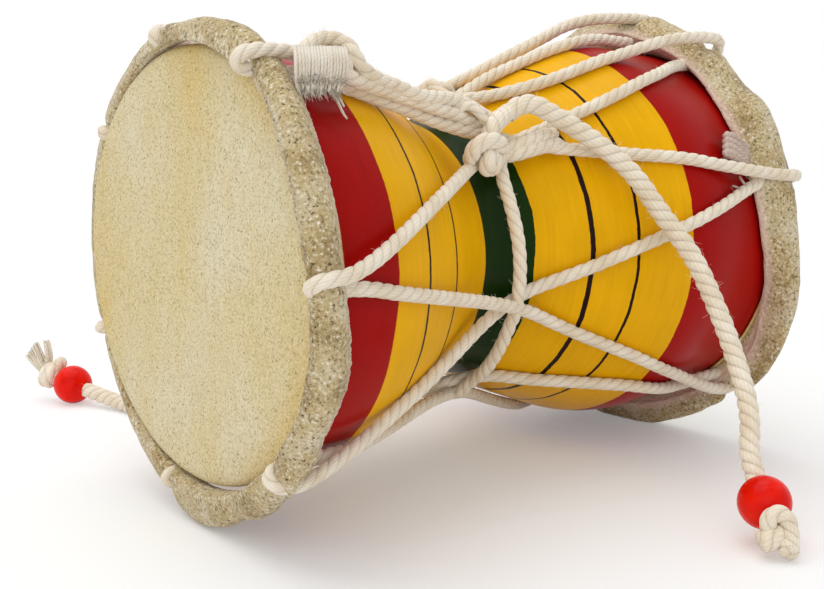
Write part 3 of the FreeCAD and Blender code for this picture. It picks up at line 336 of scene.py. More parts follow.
# %% Routes of the lacing
LACING_ROUTE = [
    (-73.49, -33.85, 128.88), (-84.73, -37.0, 132.6), (-99.0, -36.6, 132.4), (-98.8, -32.6, 126.0),
    (-80.23, -33.4, 125.4), (-60.26, -34.36, 120.68), (-9.75, -30.83, 105.76), (46.51, -57.2, 101.0),
    (86.7, -68.3, 95.0), (98.3, -68.3, 95.0), (98.3, -60.77, 92.45), (82.2, -60.77, 92.45),
    (59.88, -64.33, 86.24), (46.95, -63.33, 82), (37.68, -60.45, 78.58), (17.66, -52.92, 71.05),
    (8.98, -48.66, 67.82), (-9.75, -38.44, 60.95), (-46.3, -44.52, 41.39), (-85.38, -49.18, 21.77),
    (-98.58, -49.18, 21.77), (-98.58, -43.35, 27.81), (-80.88, -43.35, 27.81), (-68.11, -39.54, 26.75),
    (-58.35, -36.05, 26.61), (-9.75, -15.46, 30.23), (25.29, 0.82, 16.74), (44.15, 9.57, 10.29),
    (53.77, 13.76, 8.74), (85.38, 27.08, 5.67), (98.58, 27.08, 5.67), (98.58, 23.94, 13.45),
    (80.88, 23.94, 13.45), (59.83, 26.59, 12.57), (47.65, 27.06, 14.48), (38.26, 26.56, 17.83),
    (17.99, 25.06, 25.9), (-9.75, 21.89, 38.98), (-78.39, 65.2, 45.0), (-90.0, 65.2, 45.0),
    (-90.0, 57.4, 48.3), (-73.89, 57.0, 48.5), (-55.72, 52.13, 47.82), (-9.75, 44.95, 67.97),
    (45.42, 61.81, 87.48), (84.82, 67.03, 99.78), (98.02, 67.03, 99.78), (98.02, 59.25, 96.64),
    (80.32, 59.25, 96.64), (59.96, 59.13, 101.43), (47.3, 56.42, 103.13), (37.96, 52.53, 103.4),
    (17.82, 43.2, 103.42), (-9.75, 27.93, 101.62), (-80.86, 18.5, 141.0), (-93.0, 17.1, 141.4),
    (-93.0, 15.1, 133.2), (-76.36, 17.0, 132.7), (-56.38, 12.43, 129.31), (-9.75, -4.72, 117.65),
    (5.8, -11.4, 118.6), (13.6, -16.6, 120.7), (22.9, -20.6, 123.4), (32.1, -22.6, 126.3),
    (41.8, -24.4, 129.5), (52.6, -25.6, 132.2), (72.0, -30.4, 138.0), (86.19, -33.4, 139.0),
    (98.6, -33.4, 138.4), (98.6, -28.4, 130.4), (82.5, -27.9, 129.7), (70.0, -33.0, 128.6),
    (59.0, -37.4, 126.3), (41.5, -38.4, 121.1), (28.3, -36.4, 116.2), (18.9, -34.8, 112.8),
    (11.9, -33.1, 110.0), (-9.75, -27.42, 102.1), (-45.67, -51.8, 95.0), (-86.73, -70.53, 78.87),
    (-99.93, -70.53, 78.87), (-99.93, -62.3, 75.0), (-82.23, -62.35, 74.6), (-69.23, -60.9, 71.5),
    (-59.28, -58.8, 69.6), (-9.75, -43.23, 59.48), (8.6, -43.3, 51.2), (22.7, -47.0, 44.9),
    (38.4, -50.1, 38.4), (53.3, -50.6, 32.0), (86.39, -46.47, 17.32),
    (99.59, -46.47, 17.32), (99.59, -41.07, 23.75), (81.89, -41.07, 23.75), (71.7, -40.9, 22.9),
    (46.1, -44.2, 27.4), (33.1, -38.5, 28.7), (20.0, -33.3, 30.7), (-9.75, -13.75, 34.92),
    (-81.62, 13.5, 3.2), (-93.2, 17.1, 4.0), (-93.2, 15.1, 12.2), (-77.12, 11.5, 11.3),
    (-56.91, 13.91, 16.28), (-9.75, 24.62, 34.79), (36.22, 49.66, 38.76), (45.41, 54.35, 39.78),
    (84.81, 67.94, 47.97), (98.01, 67.94, 47.97), (98.01, 60.05, 50.84), (80.31, 60.05, 50.84),
    (59.95, 62.63, 52.71), (47.29, 61.53, 54.74), (17.82, 51.82, 61.54), (-9.75, 39.98, 68.5),
    (-78.05, 60.5, 108.5), (-89.5, 59.4, 111.3), (-89.5, 52.3, 106.7), (-73.55, 53.5, 104.5),
    (-55.47, 51.63, 98.43), (-9.75, 31.4, 105.21), (12.0, 14.5, 120.0), (30.0, 4.6, 131.1),
    (48.0, 3.8, 138.0), (58.0, 3.4, 142.6), (70.0, 1.0, 145.4), (84.0, -0.5, 146.1), (93.5, -2.0, 146.1),
    (98.6, -3.0, 145.2), (98.6, -4.0, 137.2), (81.0, -6.0, 137.3), (60.0, -8.2, 138.4),
    (46.3, -8.2, 135.8), (38.8, -5.5, 133.2), (27.0, -3.3, 128.6), (13.7, -3.3, 124.3),
    (-9.75, -4.2, 112.68), (-45.87, -21.31, 122.59), (-73.1, -33.67, 128.78)]
BELT_ROUTE = [
    (-11.0, -36.0, 106.0), (-12.5, -37.3, 99.6), (-13.3, -44.0, 87.6), (-12.6, -46.9, 75.9),
    (-11.0, -45.3, 62.2), (-10.8, -38.1, 46.1), (-7.5, -24.8, 33.4), (-9.0, -6.0, 25.0), (-9.75, 14.0, 26.5),
    (-9.75, 28.29, 29.13), (-9.75, 51.66, 67.27), (-9.75, 36.09, 110.07), (-9.75, -5.43, 124.36),
    (-9.75, -31.79, 112.35)]
ROPE_DIAMETER = 4.0 * MM
print("lacing corners", len(LACING_ROUTE))

# %% [markdown]
# ## The turned body
# The body is one piece of wood, turned to an hourglass and lacquered in bands. It is a circle,
# extruded and scaled from ring to ring along the axis, which is what a lathe does. The inside
# is opened as two cups, so the wall has its real thickness.

# %% Turning helper
ROUND = 192
SMALLEST_RING = 0.6


def name_new(name):
    """Name the object that was just added, and its mesh."""
    made = bpy.context.object
    made.name = name
    made.data.name = name
    return made


def turn_profile(name, rings, segments):
    """Turn a profile of (along, radius) rings round the drum's axis."""
    bpy.ops.object.select_all(action="DESELECT")
    along, radius = rings[0]
    bpy.ops.mesh.primitive_circle_add(vertices=segments, radius=radius * MM,
                                      location=(along * MM, 0, AXIS_Z), rotation=(0, math.pi / 2, 0))
    made = name_new(name)
    bpy.ops.object.transform_apply(location=True, rotation=True, scale=True)
    bpy.ops.object.mode_set(mode="EDIT")
    bpy.ops.mesh.select_all(action="SELECT")
    for before, after in zip(rings, rings[1:]):
        shift = ((after[0] - before[0]) * MM, 0, 0)
        bpy.ops.mesh.extrude_region_move(TRANSFORM_OT_translate={"value": shift})
        share = after[1] / before[1]
        bpy.ops.transform.resize(value=(1, share, share), center_override=(after[0] * MM, 0, AXIS_Z))
    bpy.ops.mesh.select_all(action="SELECT")
    bpy.ops.mesh.remove_doubles(threshold=0.00001)
    bpy.ops.mesh.normals_make_consistent(inside=False)
    bpy.ops.object.mode_set(mode="OBJECT")
    bpy.ops.object.shade_smooth()
    print(name, "rings", len(rings), "faces", len(made.data.polygons))
    return made


# %% Body
OUTSIDE = [
    (-91.0, 55.6), (-90.6, 56.9), (-89.9, 58.0), (-88.8, 59.0), (-87, 59.5), (-82, 59.5), (-78, 59.22),
    (-74, 58.83), (-70, 58.31), (-66, 57.65), (-62, 56.83), (-58, 55.82), (-54, 54.63), (-50, 53.25),
    (-46, 51.7), (-42, 49.96), (-38, 48.01), (-34, 45.86), (-30, 43.64), (-26, 41.56), (-22, 39.86),
    (-18, 38.79), (-14, 38.44), (-11.75, 38.54), (-8, 39.16), (-4, 40.34), (0, 41.96), (4, 43.83),
    (8, 45.82), (12, 47.79), (16, 49.63), (20, 51.31), (24, 52.88), (28, 54.39), (32, 55.9),
    (36, 57.47), (40, 59.04), (44, 60.49), (48, 61.69), (52, 62.56), (56, 63.04), (60, 63.14),
    (64, 62.98), (68, 62.67), (72, 62.29), (76, 61.89), (80, 61.51), (84, 61.17), (88, 61.0),
    (91.8, 61.0), (93.4, 60.5), (94.5, 59.5), (95.2, 58.3), (95.5, 57.0)]
INSIDE = [
    (95.5, 54.0), (80, 54.52), (68, 54.35), (60, 53.77), (52, 52.66), (44, 50.89), (36, 47.98),
    (28, 43.31), (20, 36.72), (12, 28.2), (4, 18.11), (0, 13.0), (-12, 13.0), (-22, 13.28),
    (-30, 21.98), (-38, 30.42), (-46, 38.05), (-54, 44.21), (-62, 48.34), (-70, 50.62),
    (-78, 51.8), (-91.0, 52.5), (-91.0, 55.6)]
body = turn_profile("turned_body", OUTSIDE + INSIDE, ROUND)
bpy.ops.object.shade_smooth_by_angle(angle=math.radians(40))
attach(body, "drum")
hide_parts("shell")


# %% [markdown]
# ## Seating the ropes
# The spline cuts inside each corner a little, so a rope could sink into the wood. Each point
# that is too deep is lifted to the surface. Where two legs cross, the outer one is lifted
# until both ropes fit, and the lift is smoothed along the rope.

# %% Seating helper
MIDDLE_X = 2
RIM_START = 88
LOOP_START = 76
SMALL_LOOP_RADIUS = 62.4
LARGE_LOOP_RADIUS = 63.9
LOOP_DRAW = 0.72
FAR_LOOP_DRAW = 0.45
TOUCHING = 0.97 * ROPE_DIAMETER
SAME_LEG = 40
WAIST_X = -9.75 * MM


def surface_tree(thing):
    """A search tree of a piece's surface."""
    return BVHTree.FromPolygons([v.co for v in thing.data.vertices],
                                [tuple(p.vertices) for p in thing.data.polygons])


def axis_out(point):
    """The direction straight away from the drum's axis."""
    return Vector((0, point.y, point.z - AXIS_Z)).normalized()


def lift_smooth(points, lifts, rounds):
    """Spread lifts along a rope, keeping each as large as it was."""
    spread = list(lifts)
    for _ in range(rounds):
        calm = spread[:]
        for number in range(1, len(spread) - 1):
            calm[number] = (spread[number - 1] + 2 * spread[number] + spread[number + 1]) / 4
        spread = [max(a, b * 0.999) for a, b in zip(calm, lifts)]
    return [point + axis_out(point) * lift for point, lift in zip(points, spread)]


def seat_on_wood(points, tree, radius):
    """Lift the points of a rope that lie too deep in the wood."""
    lifts = []
    for point in points:
        found, normal, _, gap = tree.find_nearest(point)
        inside = (point - found).dot(normal) < 0
        depth = radius - (-gap if inside else gap)
        near_rim = abs(point.x - MIDDLE_X * MM) > RIM_START * MM
        lifts.append(0.0 if near_rim else max(0.0, depth))
    return lift_smooth(points, lifts, 24)


def seat_on_ropes(points, others, radius, both):
    """Lift the points of a rope that lies over other ropes."""
    lifts = [0.0] * len(points)
    for number, point in enumerate(points):
        for other in others:
            gap = (point - other).length
            if gap < both and gap > 1e-6:
                over = (point - other).dot(axis_out(point))
                if over > -0.2 * radius:
                    lifts[number] = max(lifts[number], both - gap)
    return lift_smooth(points, lifts, 20)


def draw_in(route):
    """Pull the loops in towards the hoops, as a rope under tension lies in soft hide."""
    drawn = []
    for x, y, z in route:
        inner = SMALL_LOOP_RADIUS if x < 0 else LARGE_LOOP_RADIUS
        draw = FAR_LOOP_DRAW if x < 0 and y > 5 else LOOP_DRAW
        reach = math.hypot(y, z - AXIS_Z / MM)
        on_top = x > 0 and z > 130
        if abs(x - MIDDLE_X) > LOOP_START and reach > inner and not on_top:
            share = (inner + (reach - inner) * draw) / reach
            y, z = y * share, AXIS_Z / MM + (z - AXIS_Z / MM) * share
        drawn.append((x, y, z))
    return drawn


body_tree = surface_tree(body)
lacing_points = even_points(smooth_line("lacing", draw_in(LACING_ROUTE)), 1.0 * MM)
lacing_points = seat_on_wood(lacing_points, body_tree, ROPE_DIAMETER / 2)
waist_reach = 7 * MM
near_waist = [n for n, p in enumerate(lacing_points) if abs(p.x - WAIST_X) < waist_reach]
for number in near_waist:
    point = lacing_points[number]
    for other in near_waist:
        if abs(other - number) > SAME_LEG:
            gap = (point - lacing_points[other]).length
            short = TOUCHING - gap
            outer = axis_out(point).dot(point - lacing_points[other]) > 0
            if short > 0 and outer:
                lacing_points[number] = lacing_points[number] + axis_out(point) * short * 0.9
for _ in range(3):
    lacing_points = ([lacing_points[0]]
                     + [(a + b * 2 + c) / 4 for a, b, c in zip(lacing_points, lacing_points[1:],
                                                               lacing_points[2:])]
                     + [lacing_points[-1]])
print("lacing length %.0f mm" % (line_length(lacing_points) / MM))

# %% Lacing rope
def rope_piece(name, points, diameter, node=None, **how):
    """A rope of the lacing that rides on the drum."""
    made = lay_rope(name, points, diameter, **how)
    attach(made, "drum")
    if node:
        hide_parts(node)
    return made


def spot(along, radius, angle):
    """A place given along the drum, away from its axis, and round it in degrees."""
    turn = math.radians(angle)
    return (along, -radius * math.cos(turn), AXIS_Z / MM + radius * math.sin(turn))


def spots(stops):
    """The places of a list of stops."""
    return [spot(*stop) for stop in stops]


lacing = rope_piece("lacing_rope", lacing_points, ROPE_DIAMETER, "lacing_cord")
lacing_fuzz = grow_fuzz("lacing_fuzz", lacing_points, ROPE_DIAMETER / 2, 1500, 2.6 * MM, "drum")

belt_points = even_points(smooth_line("waist", BELT_ROUTE), 0.8 * MM)
close_by = [p for p in lacing_points if abs(p.x - WAIST_X) < 12 * MM]
belt_points = seat_on_ropes(belt_points, close_by, ROPE_DIAMETER / 2, TOUCHING)
waist_rope = rope_piece("waist_rope", belt_points, ROPE_DIAMETER, "waist_binding")
waist_fuzz = grow_fuzz("waist_fuzz", belt_points, ROPE_DIAMETER / 2, 160, 2.4 * MM, "drum")

# %% Spare strand and hitch
SPARE_ROUTE = spots([
    (-11.5, 47.8, 48.5), (-18.0, 50.2, 50.0), (-25.0, 53.2, 51.3), (-35.0, 56.0, 51.0),
    (-45.0, 58.2, 52.2), (-56.0, 61.6, 52.0), (-66.0, 64.6, 50.8), (-73.0, 67.5, 51.5),
    (-77.5, 69.0, 53.5)])
HITCH_ROUTE = spots([
    (-10.0, 50.6, 52.0), (-14.0, 52.0, 51.7), (-19.1, 54.5, 54.2), (-29.2, 57.0, 53.8),
    (-36.5, 58.4, 52.6), (-44.1, 60.0, 51.3), (-51.1, 62.0, 52.7), (-60.2, 65.0, 52.1),
    (-66.2, 68.0, 52.6), (-67.9, 70.2, 54.2), (-67.8, 70.8, 56.6), (-69.0, 71.0, 58.7),
    (-72.6, 71.0, 59.8), (-77.5, 70.6, 58.8), (-81.4, 70.0, 56.6), (-81.5, 68.4, 55.6),
    (-77.0, 66.6, 55.5)])
INNER_ROUTE = spots([
    (-78.5, 67.0, 55.0), (-77.0, 68.5, 55.5), (-73.0, 69.5, 56.4), (-71.0, 69.0, 55.2),
    (-70.0, 68.0, 53.3), (-71.8, 66.5, 51.5)])
spare_points = even_points(smooth_line("spare", SPARE_ROUTE), 0.8 * MM)
spare = rope_piece("spare_rope", spare_points, ROPE_DIAMETER, "lacing_return")
hitch_points = even_points(smooth_line("hitch", HITCH_ROUTE), 0.6 * MM)
hitch = rope_piece("hitch_rope", hitch_points, 4.1 * MM, "lacing_end_knot")
inner_points = even_points(smooth_line("hitch_inner", INNER_ROUTE), 0.6 * MM)
hitch_inner = rope_piece("hitch_inner_rope", inner_points, 3.9 * MM)
hitch_fuzz = grow_fuzz("hitch_fuzz", hitch_points, 2.0 * MM, 160, 2.4 * MM, "drum")

# %% Tail beside the large collar
RIBS = [((80.3, 64.8, 28.0), (76.1, 65.6, 30.3), (71.7, 66.2, 31.9), (69.6, 66.0, 31.6), (70.7, 65.4, 31.1),
         (75.2, 65.2, 29.9), (79.9, 64.8, 27.4)),
        ((79.2, 64.8, 26.3), (74.8, 65.6, 28.6), (70.3, 66.2, 30.2), (68.3, 66.0, 30.0), (69.4, 65.4, 29.4),
         (73.9, 65.2, 28.2), (78.8, 64.8, 25.7)),
        ((78.1, 64.8, 24.7), (73.6, 65.6, 27.0), (69.1, 66.2, 28.6), (67.1, 66.0, 28.3), (68.2, 65.4, 27.7),
         (72.8, 65.2, 26.6), (77.7, 64.8, 24.1)),
        ((77.0, 64.8, 22.9), (72.4, 65.6, 25.2), (67.9, 66.2, 26.8), (65.8, 66.0, 26.5), (67.0, 65.4, 26.0),
         (71.6, 65.2, 24.8), (76.7, 64.8, 22.3))]
tail_folds = []
for number, rib in enumerate(RIBS):
    points = even_points(smooth_line("tail", spots(rib)), 0.4 * MM)
    made = rope_piece("tail_fold_%d" % (number + 1), points, 2.2 * MM,
                      "lacing_tail" if number == 0 else None, sides=18, groove=0.22, lay=-6.5 * MM)
    tail_folds.append(made)

# %% [markdown]
# ## Heads
# A head is dried hide, stretched over the rim while wet. It is a disc that turns back over the
# rim. As it dries it draws in unevenly, so the face has slow waves of a fraction of a
# millimetre, and small puckers near the edge where the lacing pulls.

# %% Heads
def thicken(made, thickness):
    """Give a skin its thickness, on its inner side."""
    thick = made.modifiers.new("thickness", "SOLIDIFY")
    thick.thickness = thickness
    thick.offset = -1
    bpy.ops.object.modifier_apply(modifier=thick.name)


def close_middle(made):
    """Merge the smallest ring of a turned disc into its centre point."""
    bpy.ops.object.mode_set(mode="EDIT")
    bpy.ops.mesh.select_all(action="DESELECT")
    bpy.ops.object.mode_set(mode="OBJECT")
    for vertex in made.data.vertices:
        reach = math.hypot(vertex.co.y, vertex.co.z - AXIS_Z) / MM
        vertex.select = reach < SMALLEST_RING * 1.5
    bpy.ops.object.mode_set(mode="EDIT")
    bpy.ops.mesh.select_mode(type="VERT")
    bpy.ops.mesh.merge(type="CENTER")
    bpy.ops.object.mode_set(mode="OBJECT")


def make_head(name, side, face, rim, skirt):
    """A stretched head: side is -1 for the small head and 1 for the large one."""
    rings = [(face - side * skirt, rim), (face - side * 3.6, rim + 0.02), (face - side * 2.6, rim - 0.05),
             (face - side * 1.4, rim - 0.35), (face - side * 0.6, rim - 1.0), (face - side * 0.2, rim - 1.9),
             (face - side * 0.02, rim - 3.2)]
    radius = rim - 5.6
    while radius > 2:
        rings.append((face, radius))
        radius -= 2.6
    rings.append((face, SMALLEST_RING))
    made = turn_profile(name, rings, ROUND)
    close_middle(made)
    for vertex in made.data.vertices:
        reach = math.hypot(vertex.co.y, vertex.co.z - AXIS_Z) / MM
        slow = noise.noise(vertex.co * 38) * 0.35 + noise.noise(vertex.co * 120) * 0.07
        edge = max(0.0, 1 - abs(reach - (rim - 5)) / 9)
        turn = math.atan2(vertex.co.z - AXIS_Z, vertex.co.y)
        pucker = 0.12 * math.sin(turn * 22 + 3 * noise.noise(vertex.co * 30)) * edge
        calm = min(1.0, max(0.0, (rim - reach) / 5))
        vertex.co.x += side * (slow * calm + pucker - 0.25) * MM
    thicken(made, 0.55 * MM)
    bpy.ops.object.shade_smooth()
    return made


head_left = make_head("head_small", -1, -91.75, 60.3, 5.5)
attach(head_left, "drum")
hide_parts("head_skin_left")
head_right = make_head("head_large", 1, 96.25, 61.8, 4.2)
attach(head_right, "drum")
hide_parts("head_skin_right")

# %% [markdown]
# ## Hoops
# A wire hoop lies inside each rolled rim. Hardly any of it shows, so it is a plain round ring,
# tilted as its collar is.

# %% Hoops
def make_hoop(name, hoop_x, lean, radius, wire, node):
    """A wire ring inside a collar."""
    bpy.ops.object.select_all(action="DESELECT")
    bpy.ops.mesh.primitive_torus_add(major_segments=160, minor_segments=12, major_radius=radius * MM,
                                     minor_radius=wire * MM, location=(hoop_x * MM, 0, AXIS_Z),
                                     rotation=(0, math.pi / 2, 0))
    made = name_new(name)
    bpy.ops.object.transform_apply(location=True, rotation=True, scale=True)
    for vertex in made.data.vertices:
        near = -vertex.co.y / (radius * MM)
        vertex.co.x += lean * near * MM
    bpy.ops.object.shade_smooth()
    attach(made, "drum")
    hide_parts(node)
    return made


hoop_small = make_hoop("hoop_small", -91.25, -4.5, 63.6, 1.1, "hoop_left")
hoop_large = make_hoop("hoop_large", 94.75, 1.0, 66.2, 1.1, "hoop_right")

# %% [markdown]
# ## Collars
# The hide's rim is folded over the hoop, which makes a thick roll with a torn edge. It is
# thick where it was folded twice and thin where it was pulled hard, so one section isn't
# enough: a table gives the roll's front lip, crown and back lip at a number of angles. A torus
# is added, and each of its points moves to its place on the section at its own angle.

# %% Tables of the two collars
# Angle, then place along X and distance from the axis of the front lip, the crown and the back lip.
SMALL_COLLAR = [
    (-170, -89.3, 62.0, -86.0, 68.2, -80.5, 65.5), (-150, -90.0, 61.6, -87.0, 66.6, -81.5, 65.0),
    (-130, -91.4, 61.6, -88.3, 66.9, -82.5, 65.2), (-112, -92.8, 61.8, -89.4, 68.6, -83.5, 65.8),
    (-98, -93.8, 62.0, -90.2, 71.8, -84.0, 66.5), (-88, -94.8, 62.2, -90.9, 72.9, -84.6, 67.0),
    (-78, -95.5, 62.2, -91.4, 71.6, -85.2, 67.0), (-70, -95.4, 62.2, -91.6, 68.8, -85.8, 66.2),
    (-64, -97.2, 62.2, -92.6, 70.2, -86.6, 66.8), (-56, -98.0, 62.2, -93.2, 69.8, -87.4, 66.6),
    (-46, -97.8, 62.4, -94.0, 67.6, -89.2, 65.4), (-38, -97.8, 62.6, -94.0, 67.2, -89.6, 65.0),
    (-25, -97.2, 62.4, -94.0, 67.2, -88.6, 65.0), (-10, -97.8, 62.4, -94.8, 67.2, -89.0, 65.0),
    (5, -99.2, 62.4, -96.0, 67.2, -91.2, 65.0), (17, -99.8, 62.4, -96.0, 67.3, -91.4, 65.0),
    (30, -99.3, 62.4, -95.5, 67.2, -90.8, 65.0), (45, -96.8, 62.2, -93.5, 67.4, -89.4, 65.0),
    (57, -95.2, 61.6, -91.8, 68.2, -87.0, 65.2), (66, -95.2, 61.2, -91.6, 69.2, -86.2, 65.8),
    (80, -95.0, 61.1, -91.2, 67.5, -85.6, 65.4), (95, -94.6, 61.0, -90.8, 66.3, -85.2, 65.0),
    (112, -92.8, 61.2, -89.4, 65.8, -84.2, 64.8), (130, -91.0, 61.8, -87.6, 66.8, -82.6, 65.2),
    (150, -89.8, 62.0, -86.6, 68.2, -81.4, 65.5), (170, -89.2, 62.2, -86.0, 68.2, -80.6, 65.5)]
LARGE_COLLAR = [
    (-170, 97.0, 63.5, 90.8, 71.4, 82.8, 65.5), (-140, 97.3, 63.5, 91.0, 71.8, 83.0, 65.5),
    (-112, 97.7, 63.5, 91.8, 72.8, 83.8, 65.8), (-95, 98.0, 63.5, 92.6, 74.0, 85.0, 66.0),
    (-84, 98.2, 63.6, 93.0, 74.6, 86.2, 66.2), (-72, 98.5, 63.8, 93.6, 74.0, 88.0, 66.0),
    (-61, 98.7, 63.8, 94.0, 73.4, 90.2, 65.6), (-52, 98.8, 63.8, 94.5, 73.6, 91.6, 66.0),
    (-43, 99.0, 64.0, 95.0, 75.6, 92.6, 66.6), (-33, 99.0, 63.8, 94.8, 75.4, 92.4, 66.2),
    (-22, 99.0, 63.6, 94.2, 74.4, 90.8, 63.4),
    (-12, 98.4, 63.5, 93.4, 72.6, 87.8, 63.4), (-3, 98.0, 63.5, 92.4, 70.8, 84.4, 63.4),
    (5, 97.8, 63.5, 91.6, 69.7, 82.0, 63.4), (15, 97.8, 63.5, 91.0, 69.2, 80.4, 63.4),
    (22, 97.8, 63.5, 90.6, 68.6, 79.0, 63.4), (31, 98.2, 63.5, 90.6, 70.4, 79.2, 63.4),
    (40, 98.2, 63.5, 91.0, 71.4, 79.8, 63.4), (48, 98.0, 63.5, 91.4, 68.7, 81.2, 63.4),
    (60, 98.2, 63.5, 92.2, 71.4, 81.6, 65.0), (71, 98.2, 63.8, 92.6, 72.0, 83.0, 65.6),
    (81, 98.1, 64.0, 92.8, 74.2, 82.0, 67.0), (87, 98.0, 64.0, 92.8, 76.2, 82.0, 68.2),
    (95, 98.0, 64.0, 92.8, 76.2, 82.0, 68.6), (104, 97.9, 63.8, 92.4, 77.0, 82.2, 68.4),
    (112, 97.7, 63.8, 92.0, 75.2, 82.6, 67.4), (130, 97.5, 63.5, 91.2, 72.0, 83.0, 65.5),
    (150, 97.1, 63.5, 90.8, 71.4, 82.8, 65.5)]
LEFT_LOOPS = [104, 58.5, 5, -46, -104, -157, -213]
RIGHT_LOOPS = [88, 64, 18, -50, -112, -160, -202]


def turn_gap(a, b):
    """Smallest difference of two angles in degrees."""
    return (a - b + 180) % 360 - 180


def soft_between(p, q, r, s, share):
    """A smooth value between q and r that heads from p and to s."""
    return q + 0.5 * share * (r - p + share * (2 * p - 5 * q + 4 * r - s + share * (3 * (q - r) + s - p)))


def read_table(table, turn):
    """The row of a collar's table at an angle, smoothly between its own rows."""
    angles = [row[0] for row in table]
    turn = (turn - angles[0]) % 360 + angles[0]
    number = max(k for k, angle in enumerate(angles) if angle <= turn)
    count = len(table)
    end = angles[(number + 1) % count] + (360 if number + 1 == count else 0)
    share = (turn - angles[number]) / (end - angles[number])
    rows = [table[(number + shift) % count] for shift in (-1, 0, 1, 2)]
    return [soft_between(*(row[k] for row in rows), share) for k in range(1, 7)]


def bite(angle, loops, radius, width):
    """How near an angle is to a loop of the rope, from 0 to 1."""
    nearest = min(abs(turn_gap(angle, loop)) for loop in loops)
    return math.exp(-((math.radians(nearest) * radius / width) ** 2))


# %% Collar helper
SECTION_STEPS = 3
SECTION_KEYS = 10
COLLAR_STEPS = 420
ROLL_RADIUS = 66
HIGHEST = 148.5
HIGHEST_NAP = 148.7


def collar_section(row, side, inner):
    """The closed outline of a roll: points (along, radius, share of the torn edge)."""
    front_x, front_r, crown_x, crown_r, back_x, back_r = row
    tall = crown_r - front_r
    keys = [(front_x, front_r, 0.0), (front_x * 0.78 + crown_x * 0.22, front_r + tall * 0.55, 0.0),
            (front_x * 0.30 + crown_x * 0.70, crown_r - tall * 0.08, 0.0),
            (crown_x * 0.62 + back_x * 0.38, crown_r - (crown_r - back_r) * 0.16, 0.0),
            (crown_x * 0.20 + back_x * 0.80, crown_r - (crown_r - back_r) * 0.62, 0.15),
            (back_x, back_r, 1.0), (back_x + side * 0.9, back_r - 1.3, 1.0),
            (crown_x * 0.5 + back_x * 0.5, inner + 0.5, 0.0), (crown_x * 0.8 + front_x * 0.2, inner, 0.0),
            (front_x - side * 1.3, inner + 0.4, 0.0)]
    points = []
    for number in range(len(keys)):
        around = [keys[(number + shift) % len(keys)] for shift in (-1, 0, 1, 2)]
        for step in range(SECTION_STEPS):
            share = step / SECTION_STEPS
            place = tuple(soft_between(*(key[k] for key in around), share) for k in (0, 1))
            points.append(place + (around[1][2] * (1 - share) + around[2][2] * share,))
    return points


def roughen(made, fine, fine_height, coarse, coarse_height):
    """Raise a nap of two sizes of noise on hide, away from the axis, and keep it off the table."""
    for vertex in made.data.vertices:
        p = vertex.co
        grain = noise.noise(p * fine) * fine_height + noise.noise(p * coarse) * coarse_height
        vertex.co += axis_out(p) * grain * MM
        vertex.co.z = min(max(vertex.co.z, LOWEST * MM), HIGHEST_NAP * MM)


def face_outwards(merge=None):
    """Make the normals of the active piece face outwards, with close points merged if asked."""
    bpy.ops.object.mode_set(mode="EDIT")
    bpy.ops.mesh.select_all(action="SELECT")
    if merge:
        bpy.ops.mesh.remove_doubles(threshold=merge)
    bpy.ops.mesh.normals_make_consistent(inside=False)
    bpy.ops.object.mode_set(mode="OBJECT")


def collar_row(table, turn, side, loops, loop_crown, seed):
    """The collar's row at an angle, made uneven and drawn in under the loops of the rope."""
    near = math.radians(turn)
    row = read_table(table, turn)
    swing = Vector((math.cos(near) * 2.1 + seed, math.sin(near) * 2.1, seed * 3))
    pinch = bite(turn, loops, ROLL_RADIUS, 2.9)
    shoulder = bite(turn, loops, ROLL_RADIUS, 7.5)
    row[3] += 0.45 * noise.noise(swing * 2.6) + 0.30 * noise.noise(swing * 7)
    row[3] += 0.5 * (shoulder - pinch)
    row[3] = row[3] * (1 - pinch) + min(row[3], loop_crown) * pinch
    row[0] -= side * 1.6 * pinch - side * 0.35 * noise.noise(swing * 15)
    row[4] -= side * (0.35 * noise.noise(swing * 12) + 0.45 * noise.noise(swing * 34))
    return row


def shape_collar(name, side, table, loops, loop_crown, inner, seed):
    """A folded collar round a hoop; side is -1 for the small head."""
    per_turn = SECTION_KEYS * SECTION_STEPS
    bpy.ops.object.select_all(action="DESELECT")
    bpy.ops.mesh.primitive_torus_add(major_segments=COLLAR_STEPS, minor_segments=per_turn,
                                     major_radius=ROLL_RADIUS * MM, minor_radius=4 * MM,
                                     location=(side * 91 * MM, 0, AXIS_Z), rotation=(0, math.pi / 2, 0))
    made = name_new(name)
    bpy.ops.object.transform_apply(location=True, rotation=True, scale=True)
    torn = made.data.attributes.new("torn", "FLOAT", "POINT")
    turn = 0.0
    for number, vertex in enumerate(made.data.vertices):
        if number % per_turn == 0:
            turn = math.degrees(math.atan2(vertex.co.z - AXIS_Z, -vertex.co.y))
            near = math.radians(turn)
            row = collar_row(table, turn, side, loops, loop_crown, seed)
            far_side = max(0.0, -math.cos(near))
            section = collar_section(row, side, inner - 1.1 * far_side)
        along, reach, edge = section[number % per_turn]
        y = -reach * math.cos(near)
        z = min(max(AXIS_Z / MM + reach * math.sin(near), LOWEST), HIGHEST)
        vertex.co = Vector((along, y, z)) * MM
        torn.data[number].value = edge
    smooth = made.modifiers.new("round", "SUBSURF")
    smooth.levels = 1
    smooth.render_levels = 1
    bpy.ops.object.modifier_apply(modifier=smooth.name)
    face_outwards()
    bpy.ops.object.shade_smooth()
    roughen(made, 1300, 0.07, 420, 0.13)
    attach(made, "drum")
    print(name, "faces", len(made.data.polygons))
    return made


collar_left = shape_collar("collar_small", -1, SMALL_COLLAR, LEFT_LOOPS, 66.4, 60.95, 1.3)
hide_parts("collar_left")
collar_right = shape_collar("collar_large", 1, LARGE_COLLAR, RIGHT_LOOPS, 70.0, 61.2, 5.1)
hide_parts("collar_right")

